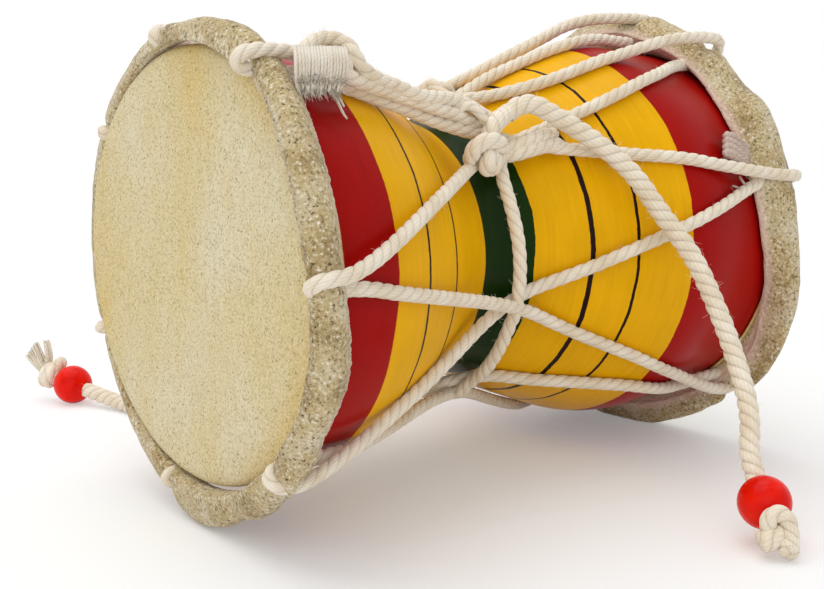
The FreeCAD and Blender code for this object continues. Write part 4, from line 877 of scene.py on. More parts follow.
# %% [markdown]
# ## Turned-over edge of the small collar
# On the near side the spare width of the hide lies over the roll as a flat strip. It has two
# ragged edges, it passes under the ropes at two loops, and its rounded end lies on the third.
# A grid is bent over the roll, given its thickness, and roughened.

# %% Strip
# Angle, then place along X of the strip's front edge and back edge, and its height over the roll.
STRIP = [
    (62, -94.2, -86.2, 67.4), (57, -94.9, -86.4, 67.3), (47, -97.1, -87.9, 68.2), (37, -99.3, -89.3, 68.4),
    (28, -100.2, -90.0, 68.5), (18, -100.7, -90.4, 68.4), (9.5, -100.3, -90.7, 68.1),
    (5, -100.0, -90.4, 67.2),
    (1, -99.8, -90.0, 68.0), (-8, -98.7, -88.3, 68.5), (-15, -98.4, -87.1, 68.6), (-22, -97.9, -87.3, 68.6),
    (-28, -98.4, -88.3, 68.6), (-34, -99.7, -88.6, 68.8), (-39, -99.2, -87.6, 69.6),
    (-44, -98.4, -90.4, 70.6),
    (-49, -98.0, -91.0, 70.6)]


def strip_row(turn):
    """Front edge, back edge and height of the strip at an angle."""
    number = 0
    while number < len(STRIP) - 2 and STRIP[number + 1][0] > turn:
        number += 1
    share = min(max((STRIP[number][0] - turn) / (STRIP[number][0] - STRIP[number + 1][0]), 0.0), 1.0)
    rows = [STRIP[min(max(number + shift, 0), len(STRIP) - 1)] for shift in (-1, 0, 1, 2)]
    return [soft_between(*(row[k] for row in rows), share) for k in (1, 2, 3)]


def ragged(turn, slow, slow_seed, slow_size, fast, fast_seed, fast_size):
    """How far a torn edge wanders at an angle."""
    return (noise.noise(Vector((turn * slow, slow_seed, 0))) * slow_size
            + noise.noise(Vector((turn * fast, fast_seed, 0))) * fast_size)


def strip_spot(turn, side, left):
    """A point of the strip: side runs from its front edge to its back edge."""
    front, back, height = strip_row(turn)
    width = math.sqrt(1 - (1 - left) ** 2) if left < 1 else 1.0
    middle = front * 0.45 + back * 0.55
    along = front + (back - front) * side
    along = (middle + (along - middle) * width
             + (1 - side) ** 3 * ragged(turn, 1.1, 2.0, 0.42, 3.1, 8.0, 0.30)
             + side ** 3 * ragged(turn, 0.9, 15.0, 0.30, 3.3, 21.0, 0.22))
    arch = 1 - abs(2 * side - 0.86) ** 2.4 * 0.9
    low = 61.9 if side < 0.43 else 65.9
    swing = Vector((turn * 0.11, side * 0.7, 4.0))
    reach = (low + (height - low) * max(arch, 0.0)
             + 0.28 * noise.noise(swing * 3) + 0.22 * noise.noise(swing * 9))
    return spot(along, reach, turn)


def make_strip(name, start, end, round_end):
    """A ragged strip of hide that is bent over the roll between two angles."""
    bpy.ops.object.select_all(action="DESELECT")
    bpy.ops.mesh.primitive_grid_add(x_subdivisions=300, y_subdivisions=20, size=1)
    made = name_new(name)
    torn = made.data.attributes.new("torn", "FLOAT", "POINT")
    for number, vertex in enumerate(made.data.vertices):
        side = vertex.co.y + 0.5
        turn = start + (end - start) * (vertex.co.x + 0.5)
        vertex.co = Vector(strip_spot(turn, side, abs(turn - end) / round_end)) * MM
        edge = max(abs(2 * side - 1), 0.0) ** 14
        torn.data[number].value = edge if side > 0.5 else edge * 0.35
    face_outwards(0.02 * MM)
    middle_face = made.data.polygons[len(made.data.polygons) // 2]
    if middle_face.normal.y > 0:
        bpy.ops.object.mode_set(mode="EDIT")
        bpy.ops.mesh.flip_normals()
        bpy.ops.object.mode_set(mode="OBJECT")
    thicken(made, 1.2 * MM)
    bpy.ops.object.shade_smooth()
    roughen(made, 1500, 0.06, 520, 0.12)
    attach(made, "drum")
    print(name, "faces", len(made.data.polygons))
    return made


strip = make_strip("collar_small_strip", 61, -47.5, 7.0)

# %% [markdown]
# ## Knots
# A knot is the same rope, bent tightly. Each turn of it is laid along a short route of its own,
# like the long ropes. A turn that dives under its neighbours closes roundly at both ends.

# %% Knot helper
def lay_knot(name, route, diameter, ride_on, node=None, taper=None, step=0.5):
    """A short piece of rope in a knot."""
    points = even_points(smooth_line(name, route), step * MM)
    made = lay_rope(name, points, diameter, sides=30, taper=taper, groove=0.15, lay=-11.0 * MM)
    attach(made, ride_on)
    if node:
        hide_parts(node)
    return made


# %% Knot at the front of the waist
def round_ends(radius):
    """A radius that closes roundly at both ends of a short rope."""
    return lambda share: radius * MM * max(1 - abs(2 * share - 1) ** 8, 0.02) ** 0.5


FRONT_ARC = spots([
    (-25.3, 53, 52.7), (-25.4, 55.5, 51.4), (-22.9, 56.5, 51.8), (-21.1, 56.5, 50.0),
    (-19.3, 55.5, 47.8), (-15.9, 53, 46.8)])
FRONT_BUMP = spots([
    (-23.8, 46, 37.0), (-25.2, 50.5, 38.6), (-23.8, 53.6, 39.4), (-20.7, 55.2, 39.2),
    (-15.8, 53.6, 38.4), (-12.4, 48, 37.0)])
FRONT_FOLD = spots([
    (-15.6, 49, 40.5), (-20.2, 52, 36.3), (-21.5, 51, 33.8), (-19.3, 46.5, 33.1)])
FRONT_TUCK = spots([
    (-11.7, 48, 40.4), (-16.5, 51, 35.8), (-18.0, 50, 33.6), (-17.0, 46, 32.9)])
FRONT_BASE = spots([
    (-17.0, 50, 42.1), (-17.6, 53.6, 43.4), (-13.2, 54.8, 47.0), (-8.2, 54.0, 49.6), (-5.5, 54.6, 51.3)])
SLEEVE_HIGH = spots([
    (-10.5, 48, 40.4), (-7.4, 50, 40.1), (-1.8, 51.5, 40.9), (5.2, 52, 42.7), (11.8, 51.5, 43.9)])
SLEEVE_LOW = spots([
    (-10.9, 47, 38.3), (-7.5, 49.5, 37.6), (-1.8, 51, 38.1), (6.1, 51.5, 39.3), (12.0, 51.5, 39.6)])
FRONT_KNOT = [("bump", FRONT_BUMP, 4.9), ("arc", FRONT_ARC, 2.8), ("fold", FRONT_FOLD, 5.0),
              ("tuck", FRONT_TUCK, 4.2), ("base", FRONT_BASE, 5.5), ("sleeve_high", SLEEVE_HIGH, 4.6),
              ("sleeve_low", SLEEVE_LOW, 4.3)]
front_knots = [lay_knot("front_knot_" + label, route, thick * MM, "drum",
                        "waist_knot_front" if label == "bump" else None, taper=round_ends(thick / 2))
               for label, route, thick in FRONT_KNOT]

# %% Knot at the back of the waist
BELT_LOW = Vector((-9.75, 28.294, 29.131))
BELT_HIGH = Vector((-9.75, 51.665, 67.27))
back_middle = BELT_LOW.lerp(BELT_HIGH, 0.37)
back_way = (BELT_HIGH - BELT_LOW).normalized()
back_side = Vector((1, 0, 0))
back_across = back_way.cross(back_side)
COIL_STEPS = 18
COIL_TURNS = 2.1
BACK_COIL = []
for step in range(COIL_STEPS + 1):
    turn = 2 * math.pi * COIL_TURNS * step / COIL_STEPS
    BACK_COIL.append(tuple(back_middle + back_way * (-3.6 + 7.2 * step / COIL_STEPS)
                           + (back_side * math.cos(turn) + back_across * math.sin(turn)) * 4.6))
back_knot = lay_knot("back_knot_coil", BACK_COIL, 4.0 * MM, "drum", "waist_knot_back")

# %% [markdown]
# ## Beads and their knots
# Each bead is a moulded plastic ball with a hole and a faint seam where the mould closed. It is
# turned from a profile like the body, then aimed along the rope. The front stopper knot shows
# an arch, a lobe and the rope's cut end. The back one is a coil with a fold beside it.

# %% Beads
FRONT_BEAD = Vector((17.65, -110.9, 11.74))
FRONT_WAY = Vector((-0.379917, -0.743838, -0.549880))
BACK_BEAD = Vector((-57.15, 148.7, 7.3))
BACK_WAY = Vector((-0.411126, 0.882418, 0.228723))
BEAD_RADIUS = 7.3
BEAD_STEPS = 60
HOLE_ANGLE = 24.5
HOLE_RADIUS = 2.95


def make_bead(name, middle, way, body_name, node):
    """A ball with a rounded hole and a mould seam, aimed along its rope."""
    rings = []
    for step in range(BEAD_STEPS + 1):
        turn = math.radians(HOLE_ANGLE + (180 - 2 * HOLE_ANGLE) * step / BEAD_STEPS)
        reach = BEAD_RADIUS * (1 - 0.012 * math.exp(-((math.degrees(turn) - 90) / 1.2) ** 2))
        rings.append((-reach * math.cos(turn), reach * math.sin(turn)))
    edge = [(along, HOLE_RADIUS) for along in (6.55, 6.2, 0, -6.2, -6.55)]
    made = turn_profile(name, rings + edge + rings[:1], 96)
    aim = way.to_track_quat("X", "Z").to_matrix().to_4x4()
    place = Matrix.Translation(middle * MM) @ aim @ Matrix.Translation((0, 0, -AXIS_Z))
    made.data.transform(place)
    bpy.ops.object.shade_smooth_by_angle(angle=math.radians(50))
    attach(made, body_name)
    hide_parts(node)
    return made


bead_front = make_bead("striker_bead_front", FRONT_BEAD, FRONT_WAY, "bead_front", "bead_front")
bead_back = make_bead("striker_bead_back", BACK_BEAD, BACK_WAY, "bead_back", "bead_back")


# %% End knots
def coil_route(middle, way, first, last, radius, turns, lean, count=17):
    """A tight coil round a rope, from one distance behind the bead to another."""
    side = way.cross(Vector((0, 0, 1))).normalized()
    over = side.cross(way)
    route = []
    for step in range(count):
        share = step / (count - 1)
        turn = 2 * math.pi * turns * share + 0.6
        out = side * math.cos(turn) + over * math.sin(turn)
        slope = lean * math.cos(turn) * radius
        route.append(tuple(middle + way * (first + (last - first) * share + slope) + out * radius))
    return route


FRONT_ARCH = [(9.07, -117.44, 7.0), (9.4, -117.4, 10.4), (11.3, -118.5, 12.4), (13.4, -120.3, 11.3),
              (13.7, -121.3, 8.6), (12.6, -122.6, 5.4), (11.6, -123.3, 3.8)]
FRONT_LOBE = [(6.9, -116.6, 4.2), (8.66, -117.72, 5.12), (10.17, -118.8, 6.0), (12.4, -120.6, 6.4)]
NUB_ROUTE = [(12.4, -121.8, 6.2), (11.6, -122.8, 4.4), (10.8, -123.5, 3.1), (10.1, -124.2, 3.0)]
end_knot_front = lay_knot("striker_knot_front", FRONT_ARCH, 4.9 * MM, "striker_front", "end_knot_front",
                          taper=round_ends(2.45), step=0.4)
knot_lobe = lay_knot("striker_knot_lobe", FRONT_LOBE, 6.8 * MM, "striker_front",
                     taper=round_ends(3.4), step=0.4)
nub = lay_knot("striker_nub_front", NUB_ROUTE, 5.6 * MM, "striker_front", taper=round_ends(2.8), step=0.4)
back_coil = coil_route(BACK_BEAD, BACK_WAY, 9.6, 13.0, 2.9, 1.8, 0.2)
end_knot_back = lay_knot("striker_knot_back", back_coil, 4.9 * MM, "striker_back", "end_knot_back", step=0.4)
BACK_FOLD = [(-64.6, 160.4, 5.6), (-63.59, 159.62, 7.81), (-61.42, 158.51, 11.26), (-57.74, 156.17, 15.08),
             (-56.6, 155.6, 16.2)]
back_fold = lay_knot("striker_fold_back", BACK_FOLD, 5.0 * MM, "striker_back",
                     taper=round_ends(2.5), step=0.4)

# %% [markdown]
# ## Frayed ends
# Where the rope is cut it untwists into yarns. Each yarn is a thin tube with a slow wave of its
# own, and at its tip it splits into a few fibres. Yarns are laid side by side from the loop
# down, widest at the bottom, and no two end at the same height.

# %% Yarns
def lay_yarns(name, lines, diameters, ride_on, sides=7, step=0.5):
    """Many thin yarns in one piece."""
    mesh = bmesh.new()
    layer = mesh.loops.layers.uv.new("strands")
    for line, diameter in zip(lines, diameters):
        points = even_points([Vector(p) * MM for p in line], step * MM)
        add_tube(mesh, layer, points, lambda share, d=diameter: d * MM / 2 * (1 - 0.35 * share ** 4),
                 sides, diameter * 4 * MM, 0.0)
    made = finish_mesh(name, mesh)
    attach(made, ride_on)
    print(name, "yarns", len(lines), "faces", len(made.data.polygons))
    return made


def bent_line(stops):
    """A soft line through a few stops, by blending neighbours."""
    line = [Vector(stop) for stop in stops]
    for _ in range(3):
        finer = [line[0]]
        for a, b in zip(line, line[1:]):
            finer.append(a * 0.75 + b * 0.25)
            finer.append(a * 0.25 + b * 0.75)
        finer.append(line[-1])
        line = finer
    return line


FAN_TOP = (-88.1, -72.0, 73.0, 53.6)
FAN_SHOULDER = (-91.3, -75.2, 73.2, 49.3)
FAN_MIDDLE = (-92.0, -76.0, 71.0, 46.9)
FAN_LOW = (-90.2, -76.5, 67.2, 46.0)
FAN_YARNS = 34


def fan_spot(row, share, out, drop=0.0):
    """A place on the fan: a share across one of its rows."""
    return spot(row[0] + (row[1] - row[0]) * share, row[2] + out, row[3] - drop)


fan_lines = []
fan_sizes = []
fibre_lines = []
fibre_sizes = []
for number in range(FAN_YARNS):
    front = number % 2 == 0
    share = (number + 0.5) / FAN_YARNS + chance.uniform(-0.006, 0.006)
    out = 0.5 if front else -0.7
    wave = chance.uniform(-0.35, 0.35)
    drop = chance.uniform(-0.4, 0.9)
    stops = [fan_spot(FAN_TOP, share, out - 0.6), fan_spot(FAN_SHOULDER, share, out + 0.2),
             fan_spot(FAN_MIDDLE, share + wave * 0.02, out + 0.1 + wave),
             fan_spot(FAN_LOW, share - wave * 0.03, out, drop)]
    fan_lines.append(bent_line(stops))
    fan_sizes.append(chance.uniform(0.95, 1.15))
    for fibre in range(5):
        sway = chance.uniform(-0.045, 0.045)
        root = fan_spot(FAN_MIDDLE, share + sway * 0.3, out + chance.uniform(-0.4, 0.5),
                        chance.uniform(-0.5, 1.8))
        bend = fan_spot(FAN_LOW, share + sway * 0.7, out + chance.uniform(-0.4, 0.8), -0.6)
        tip = fan_spot(FAN_LOW, share + sway * 1.4, out + chance.uniform(-1.2, 0.5), chance.uniform(0.2, 2.2))
        fibre_lines.append([Vector(root), Vector(bend), Vector(tip)])
        fibre_sizes.append(chance.uniform(0.16, 0.3))
fan = lay_yarns("frayed_fan", fan_lines, fan_sizes, "drum", sides=8)
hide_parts("lacing_tassel")
fan_fibres = lay_yarns("frayed_fan_fibres", fibre_lines, fibre_sizes, "drum", sides=4, step=1.5)
LONG_ENDS = [
    [(-86.8, 65.0, 47.5), (-86.6, 63.4, 46.0), (-86.0, 62.3, 44.6), (-86.6, 62.0, 43.4)],
    [(-77.0, 64.6, 48.0), (-75.5, 63.2, 46.0), (-74.6, 61.8, 43.8), (-73.6, 61.2, 42.4)],
    [(-80.0, 66.8, 49.5), (-77.0, 65.2, 47.5), (-74.8, 63.6, 46.2), (-73.6, 62.4, 45.2)]]
long_ends = lay_yarns("frayed_fan_ends", [bent_line(spots(stops)) for stops in LONG_ENDS],
                      [0.9, 0.9, 0.9], "drum")

tuft_lines = []
tuft_sizes = []
TUFT_ROOT = Vector((-63.0, 160.2, 11.4))
TUFT_YARNS = 64
PICTURE_RIGHT = Vector((0.755, -0.656, 0))
PICTURE_AWAY = Vector((0.656, 0.755, 0))
for number in range(TUFT_YARNS):
    across = chance.uniform(0, 1)
    deep = chance.uniform(-1, 1)
    if number % 4 == 0:
        tip = Vector((-61.4, 163.8, 22.4)) + PICTURE_RIGHT * across * 1.9 + PICTURE_AWAY * deep * 1.4
        middle = (TUFT_ROOT + Vector((0.6, 1.0, 5.2)) + PICTURE_RIGHT * (across * 2.0 + 0.6)
                  + PICTURE_AWAY * deep * 1.6)
    else:
        tip = (Vector((-67.0, 167.4, 16.9)).lerp(Vector((-63.4, 165.6, 22.4)), across)
               + PICTURE_AWAY * deep * 2.2)
        middle = (TUFT_ROOT + Vector((-1.2, 2.6, 3.4)) + PICTURE_RIGHT * (across - 0.5) * 5.0
                  + PICTURE_AWAY * deep * 2.2)
    root = TUFT_ROOT + PICTURE_RIGHT * (across - 0.5) * 2.6 + PICTURE_AWAY * deep * 1.6
    tip.z += chance.uniform(-0.8, 0.4)
    tuft_lines.append(bent_line([root, root.lerp(middle, 0.5), middle, tip]))
    tuft_sizes.append(chance.uniform(0.9, 1.25))
tuft = lay_yarns("striker_tuft_back", tuft_lines, tuft_sizes, "striker_back")
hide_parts("striker_tassel_back")

WHISKERS = [[(71.9, 64.5, 19.8), (71.9, 65.2, 17.9), (75.4, 65.2, 15.0)],
            [(67.1, 64.6, 17.1), (69.7, 65.0, 16.3), (74.2, 65.2, 14.5)],
            [(77.7, 65.5, 16.1), (76.0, 65.4, 15.1), (74.6, 65.0, 14.1)]]
whisker_lines = [bent_line(spots(stops)) for stops in WHISKERS]
whiskers = lay_yarns("tail_whiskers", whisker_lines, [0.9, 0.8, 0.8], "drum")

# %% [markdown]
# ## Materials
# Every finish is made of noise and simple maths on the object's own coordinates, or, on the
# ropes, on the strand map. Two small groups are shared: a fine speckle, and the yarns of a
# strand. Each material calls them with its own scales and strengths.

# %% Node helpers
def fill(tree, made, inputs):
    """Fill a node's sockets with values or links."""
    for key, value in inputs.items():
        socket = made.inputs[key]
        if isinstance(value, bpy.types.NodeSocket):
            tree.links.new(value, socket)
        else:
            socket.default_value = value


def add_node(tree, kind, inputs=None, **settings):
    """Add a node, set its options, and fill its sockets with values or links."""
    made = tree.nodes.new(kind)
    for key, value in settings.items():
        setattr(made, key, value)
    fill(tree, made, inputs or {})
    return made


def add_math(tree, operation, first, second=0.0, third=0.0):
    """A math node's result."""
    made = add_node(tree, "ShaderNodeMath", {0: first, 1: second, 2: third}, operation=operation)
    return made.outputs[0]


def add_clamp(tree, value):
    """A value kept between 0 and 1."""
    return add_node(tree, "ShaderNodeClamp", {0: value}).outputs[0]


def add_sway(tree, noise_value, size, value):
    """A value that noise moves up and down."""
    return add_math(tree, "MULTIPLY_ADD", add_math(tree, "SUBTRACT", noise_value, 0.5), size, value)


def object_place(tree):
    """The object's own coordinates."""
    return add_node(tree, "ShaderNodeTexCoord").outputs["Object"]


def stretch(tree, scale):
    """The object's own coordinates, scaled along each axis."""
    return add_node(tree, "ShaderNodeMapping", {"Vector": object_place(tree), "Scale": scale}).outputs[0]


def add_bump(tree, shader, strength, distance, height):
    """Small relief from a height."""
    made = add_node(tree, "ShaderNodeBump", {"Strength": strength, "Distance": distance, "Height": height})
    fill(tree, shader, {"Normal": made.outputs[0]})


def seen_directly(tree):
    """1 for rays that come from the camera or from a mirror or glass, 0 for light that bounces."""
    rays = add_node(tree, "ShaderNodeLightPath")
    seen = add_math(tree, "MAXIMUM", rays.outputs["Is Camera Ray"], rays.outputs["Is Glossy Ray"])
    return add_math(tree, "MAXIMUM", seen, rays.outputs["Is Transmission Ray"])


def add_mix(tree, share, first, second, blend="MIX"):
    """A blend of two colours."""
    made = add_node(tree, "ShaderNodeMix", data_type="RGBA", blend_type=blend)
    fill(tree, made, {0: share, 6: first, 7: second})
    return made.outputs[2]


def add_stain(tree, base, share, strength, colour):
    """A colour with another mixed in where a share is high."""
    return add_mix(tree, add_math(tree, "MULTIPLY", share, strength), base, colour)


def add_ramp(tree, share, stops, interpolation="LINEAR"):
    """A colour ramp with (place, colour) stops."""
    made = add_node(tree, "ShaderNodeValToRGB", {0: share})
    ramp = made.color_ramp
    ramp.interpolation = interpolation
    while len(ramp.elements) < len(stops):
        ramp.elements.new(0.5)
    for element, (place, colour) in zip(ramp.elements, stops):
        element.position = place
        element.color = colour
    return made.outputs[0]


def add_noise(tree, vector, scale, detail=4.0, roughness=0.55):
    """Noise between 0 and 1."""
    made = add_node(tree, "ShaderNodeTexNoise",
                    {"Vector": vector, "Scale": scale, "Detail": detail, "Roughness": roughness})
    return made.outputs[0]


def new_group(name, sockets):
    """An empty node group; sockets are (name, in or out, kind, default)."""
    tree = bpy.data.node_groups.new(name, "ShaderNodeTree")
    for label, direction, kind, value in sockets:
        socket = tree.interface.new_socket(label, in_out=direction, socket_type=kind)
        if value is not None:
            socket.default_value = value
    return tree, tree.nodes.new("NodeGroupInput"), tree.nodes.new("NodeGroupOutput")


def new_material(name):
    """A material with its principled shader."""
    made = bpy.data.materials.new(name)
    made.use_nodes = True
    shader = made.node_tree.nodes["Principled BSDF"]
    return made, made.node_tree, shader


def grey(value, alpha=1.0):
    """A grey colour."""
    return (value, value, value, alpha)


FLOAT = "NodeSocketFloat"
VECTOR = "NodeSocketVector"

# %% Group for a fine speckle
speckle, source, result = new_group("speckle", [
    ("Vector", "INPUT", VECTOR, None), ("Scale", "INPUT", FLOAT, 1000.0), ("Amount", "INPUT", FLOAT, 0.5),
    ("Dark", "OUTPUT", FLOAT, None), ("Light", "OUTPUT", FLOAT, None), ("Height", "OUTPUT", FLOAT, None)])
speckle_fine = add_noise(speckle, source.outputs["Vector"], source.outputs["Scale"], 3.0, 0.7)
speckle_cells = add_node(speckle, "ShaderNodeTexVoronoi",
                         {"Vector": source.outputs["Vector"], "Scale": source.outputs["Scale"]})
dark_part = add_math(speckle, "MULTIPLY", add_math(speckle, "SUBTRACT", 0.46, speckle_fine), 7.0)
dark_part = add_clamp(speckle, dark_part)
light_part = add_math(speckle, "MULTIPLY", add_math(speckle, "SUBTRACT", speckle_fine, 0.55), 7.0)
light_part = add_clamp(speckle, light_part)
speckle.links.new(add_math(speckle, "MULTIPLY", dark_part, source.outputs["Amount"]), result.inputs["Dark"])
speckle.links.new(add_math(speckle, "MULTIPLY", light_part, source.outputs["Amount"]), result.inputs["Light"])
speckle.links.new(add_math(speckle, "ADD", speckle_fine, speckle_cells.outputs[0]), result.inputs["Height"])

# %% Group for the yarns of a strand
yarns, source, result = new_group("strand_yarns", [
    ("Strand map", "INPUT", VECTOR, None), ("Yarns", "INPUT", FLOAT, 4.0), ("Lean", "INPUT", FLOAT, 3.0),
    ("Groove", "OUTPUT", FLOAT, None), ("Yarn", "OUTPUT", FLOAT, None)])
apart = add_node(yarns, "ShaderNodeSeparateXYZ", {0: source.outputs["Strand map"]})
part = add_math(yarns, "FRACT", apart.outputs[0])
away = add_math(yarns, "ABSOLUTE", add_math(yarns, "SUBTRACT", part, 0.5))
groove = add_math(yarns, "MULTIPLY_ADD", away, -2.0, 1.0)
leant = add_math(yarns, "MULTIPLY_ADD", apart.outputs[1], source.outputs["Lean"], apart.outputs[0])
wave = add_math(yarns, "MULTIPLY", add_math(yarns, "MULTIPLY", leant, source.outputs["Yarns"]), 2 * math.pi)
wave = add_math(yarns, "MULTIPLY_ADD", add_math(yarns, "SINE", wave), 0.5, 0.5)
yarns.links.new(add_math(yarns, "POWER", groove, 7.0), result.inputs["Groove"])
yarns.links.new(wave, result.inputs["Yarn"])


# %% [markdown]
# ### Lacquered wood
# The bands are painted on the lathe, so their edges are nearly straight but not perfect. Along
# X the colour steps from red to yellow, green, yellow and red, with four thin black rings. A
# little noise moves the edges, brush lines run round the body, and a thin clear coat is on top.

# %% Painted wood
RED = (0.34, 0.0030, 0.0016, 1)
YELLOW = (0.78, 0.40, 0.002, 1)
GREEN = (0.008, 0.028, 0.002, 1)
INK = (0.018, 0.006, 0.006, 1)
BANDS = [(-91.75, RED), (-67.65, YELLOW), (-18.95, GREEN), (-1.05, YELLOW), (48.05, RED)]
RAMP_SPAN = 0.2
RINGS = [(-53.65, 0.45), (-38.35, 0.42), (15.55, 0.75), (29.95, 0.5)]
paint, tree, shader = new_material("lacquered_wood")
coords = object_place(tree)
apart = add_node(tree, "ShaderNodeSeparateXYZ", {0: coords})
wander = add_noise(tree, coords, 60.0, 2.0)
along = add_sway(tree, wander, 0.0016, apart.outputs[0])
fine_wander = add_noise(tree, coords, 700.0, 2.0)
along = add_sway(tree, fine_wander, 0.00035, along)
share = add_math(tree, "MULTIPLY_ADD", along, 1 / RAMP_SPAN, 0.5)
stops = [((x * MM) / RAMP_SPAN + 0.5, colour) for x, colour in BANDS]
base = add_ramp(tree, share, stops, "CONSTANT")
for place, half in RINGS:
    gap = add_math(tree, "ABSOLUTE", add_math(tree, "SUBTRACT", along, place * MM))
    inside = add_math(tree, "LESS_THAN", gap, half * MM)
    base = add_mix(tree, inside, base, INK)
streak_map = stretch(tree, (1.0, 0.06, 0.06))
streaks = add_noise(tree, streak_map, 900.0, 3.0)
slow = add_noise(tree, coords, 45.0, 3.0)
tone = add_sway(tree, slow, 0.3, 1.0)
tone = add_sway(tree, streaks, 0.25, tone)
tint = add_node(tree, "ShaderNodeCombineColor", {0: tone, 1: tone, 2: tone}).outputs[0]
base = add_mix(tree, 1.0, base, tint, "MULTIPLY")
dust = add_math(tree, "GREATER_THAN", add_noise(tree, coords, 2600.0, 1.0), 0.79)
base = add_stain(tree, base, dust, 0.35, (0.5, 0.3, 0.2, 1))
fill(tree, shader, {"Base Color": base})
rough = add_math(tree, "MULTIPLY_ADD", streaks, 0.18, 0.22)
fill(tree, shader, {"Roughness": rough})
fill(tree, shader, {"Specular IOR Level": 0.05, "Coat Weight": 0.03, "Coat Roughness": 0.10})
height = add_math(tree, "MULTIPLY_ADD", streaks, 0.4, slow)
add_bump(tree, shader, 0.14, 0.0006, height)

# %% [markdown]
# ### Hide
# The heads are scraped smooth: cream, with yellower patches where fat stayed in, darker pores,
# and faint fibres. The collars show the rough inner side of the hide: a salt-and-pepper nap.

# %% Head hide
def add_speckle(tree, place, scale):
    """The speckle group, with its full strength."""
    made = add_node(tree, "ShaderNodeGroup", node_tree=speckle)
    fill(tree, made, {"Vector": place, "Scale": scale, "Amount": 1.0})
    return made


head_hide, tree, shader = new_material("head_hide")
coords = object_place(tree)
centred = add_node(tree, "ShaderNodeVectorMath", {0: coords, 1: (0, 0, -AXIS_Z)}, operation="ADD").outputs[0]
flat = add_node(tree, "ShaderNodeVectorMath", {0: centred, 1: (0, 1, 1)}, operation="MULTIPLY").outputs[0]
reach = add_node(tree, "ShaderNodeVectorMath", {0: flat}, operation="LENGTH").outputs["Value"]
tall = stretch(tree, (1.0, 1.0, 0.5))
patches = add_noise(tree, tall, 24.0, 5.0, 0.6)
rim_part = add_math(tree, "MULTIPLY_ADD", reach, 38.0, -1.62)
rim_part = add_clamp(tree, rim_part)
warm = add_math(tree, "MULTIPLY_ADD", rim_part, -0.03, patches)
base = add_ramp(tree, warm, [(0.30, (0.67, 0.49, 0.17, 1)), (0.42, (0.67, 0.54, 0.27, 1)),
                             (0.52, (0.69, 0.58, 0.34, 1)), (0.64, (0.71, 0.64, 0.45, 1))])
# A band near the rim on the near side is mixed towards a darker gold: painted shade where the head curves
# down into the crevice by the collar.
beside = add_node(tree, "ShaderNodeSeparateXYZ", {0: coords}).outputs[1]
near_side = add_clamp(tree, add_math(tree, "MULTIPLY_ADD", beside, -34.0, -0.3))
band = add_clamp(tree, add_math(tree, "MULTIPLY_ADD", reach, 110.0, -5.4))
rim_crevice_shade = add_math(tree, "MULTIPLY", add_math(tree, "MULTIPLY", band, near_side), 0.75)
base = add_mix(tree, rim_crevice_shade, base, (0.66, 0.45, 0.12, 1))
fine = stretch(tree, (1, 1, 0.3))
fibres = add_noise(tree, fine, 620.0, 4.0, 0.7)
streak = add_clamp(tree, add_math(tree, "MULTIPLY_ADD", fibres, 3.0, -1.2))
base = add_stain(tree, base, streak, 0.28, (0.47, 0.37, 0.17, 1))
pores = add_speckle(tree, coords, 1600.0)
base = add_mix(tree, pores.outputs["Dark"], base, (0.33, 0.25, 0.11, 1))
base = add_stain(tree, base, pores.outputs["Light"], 0.7, (0.80, 0.74, 0.58, 1))
near_rim = add_math(tree, "MULTIPLY_ADD", rim_part, -0.05, 0.745)
specks = add_math(tree, "GREATER_THAN", add_noise(tree, coords, 760.0, 1.0), near_rim)
base = add_stain(tree, base, specks, 0.6, (0.20, 0.14, 0.06, 1))
fill(tree, shader, {"Base Color": base})
fill(tree, shader, {"Roughness": 0.6, "Specular IOR Level": 0.25})
height = add_math(tree, "MULTIPLY_ADD", pores.outputs["Height"], 0.5, fibres)
add_bump(tree, shader, 0.3, 0.0004, height)

# %% Collar hide
collar_hide, tree, shader = new_material("collar_hide")
coords = object_place(tree)
patches = add_noise(tree, coords, 75.0, 4.0, 0.6)
base = add_ramp(tree, patches, [(0.34, (0.34, 0.24, 0.10, 1)), (0.5, (0.52, 0.40, 0.20, 1)),
                                (0.66, (0.62, 0.53, 0.36, 1))])
nap = add_speckle(tree, coords, 1050.0)
base = add_mix(tree, nap.outputs["Dark"], base, (0.06, 0.04, 0.012, 1))
base = add_mix(tree, nap.outputs["Light"], base, (0.86, 0.80, 0.66, 1))
torn = add_node(tree, "ShaderNodeAttribute", attribute_name="torn").outputs["Fac"]
torn = add_clamp(tree, add_math(tree, "MULTIPLY_ADD", torn, 1.6, -0.35))
base = add_stain(tree, base, torn, 0.7, (0.80, 0.62, 0.52, 1))
fill(tree, shader, {"Base Color": base})
fill(tree, shader, {"Roughness": 0.92, "Specular IOR Level": 0.12, "Sheen Weight": 0.25})
height = add_math(tree, "MULTIPLY_ADD", patches, 0.8, nap.outputs["Height"])
add_bump(tree, shader, 0.7, 0.0005, height)
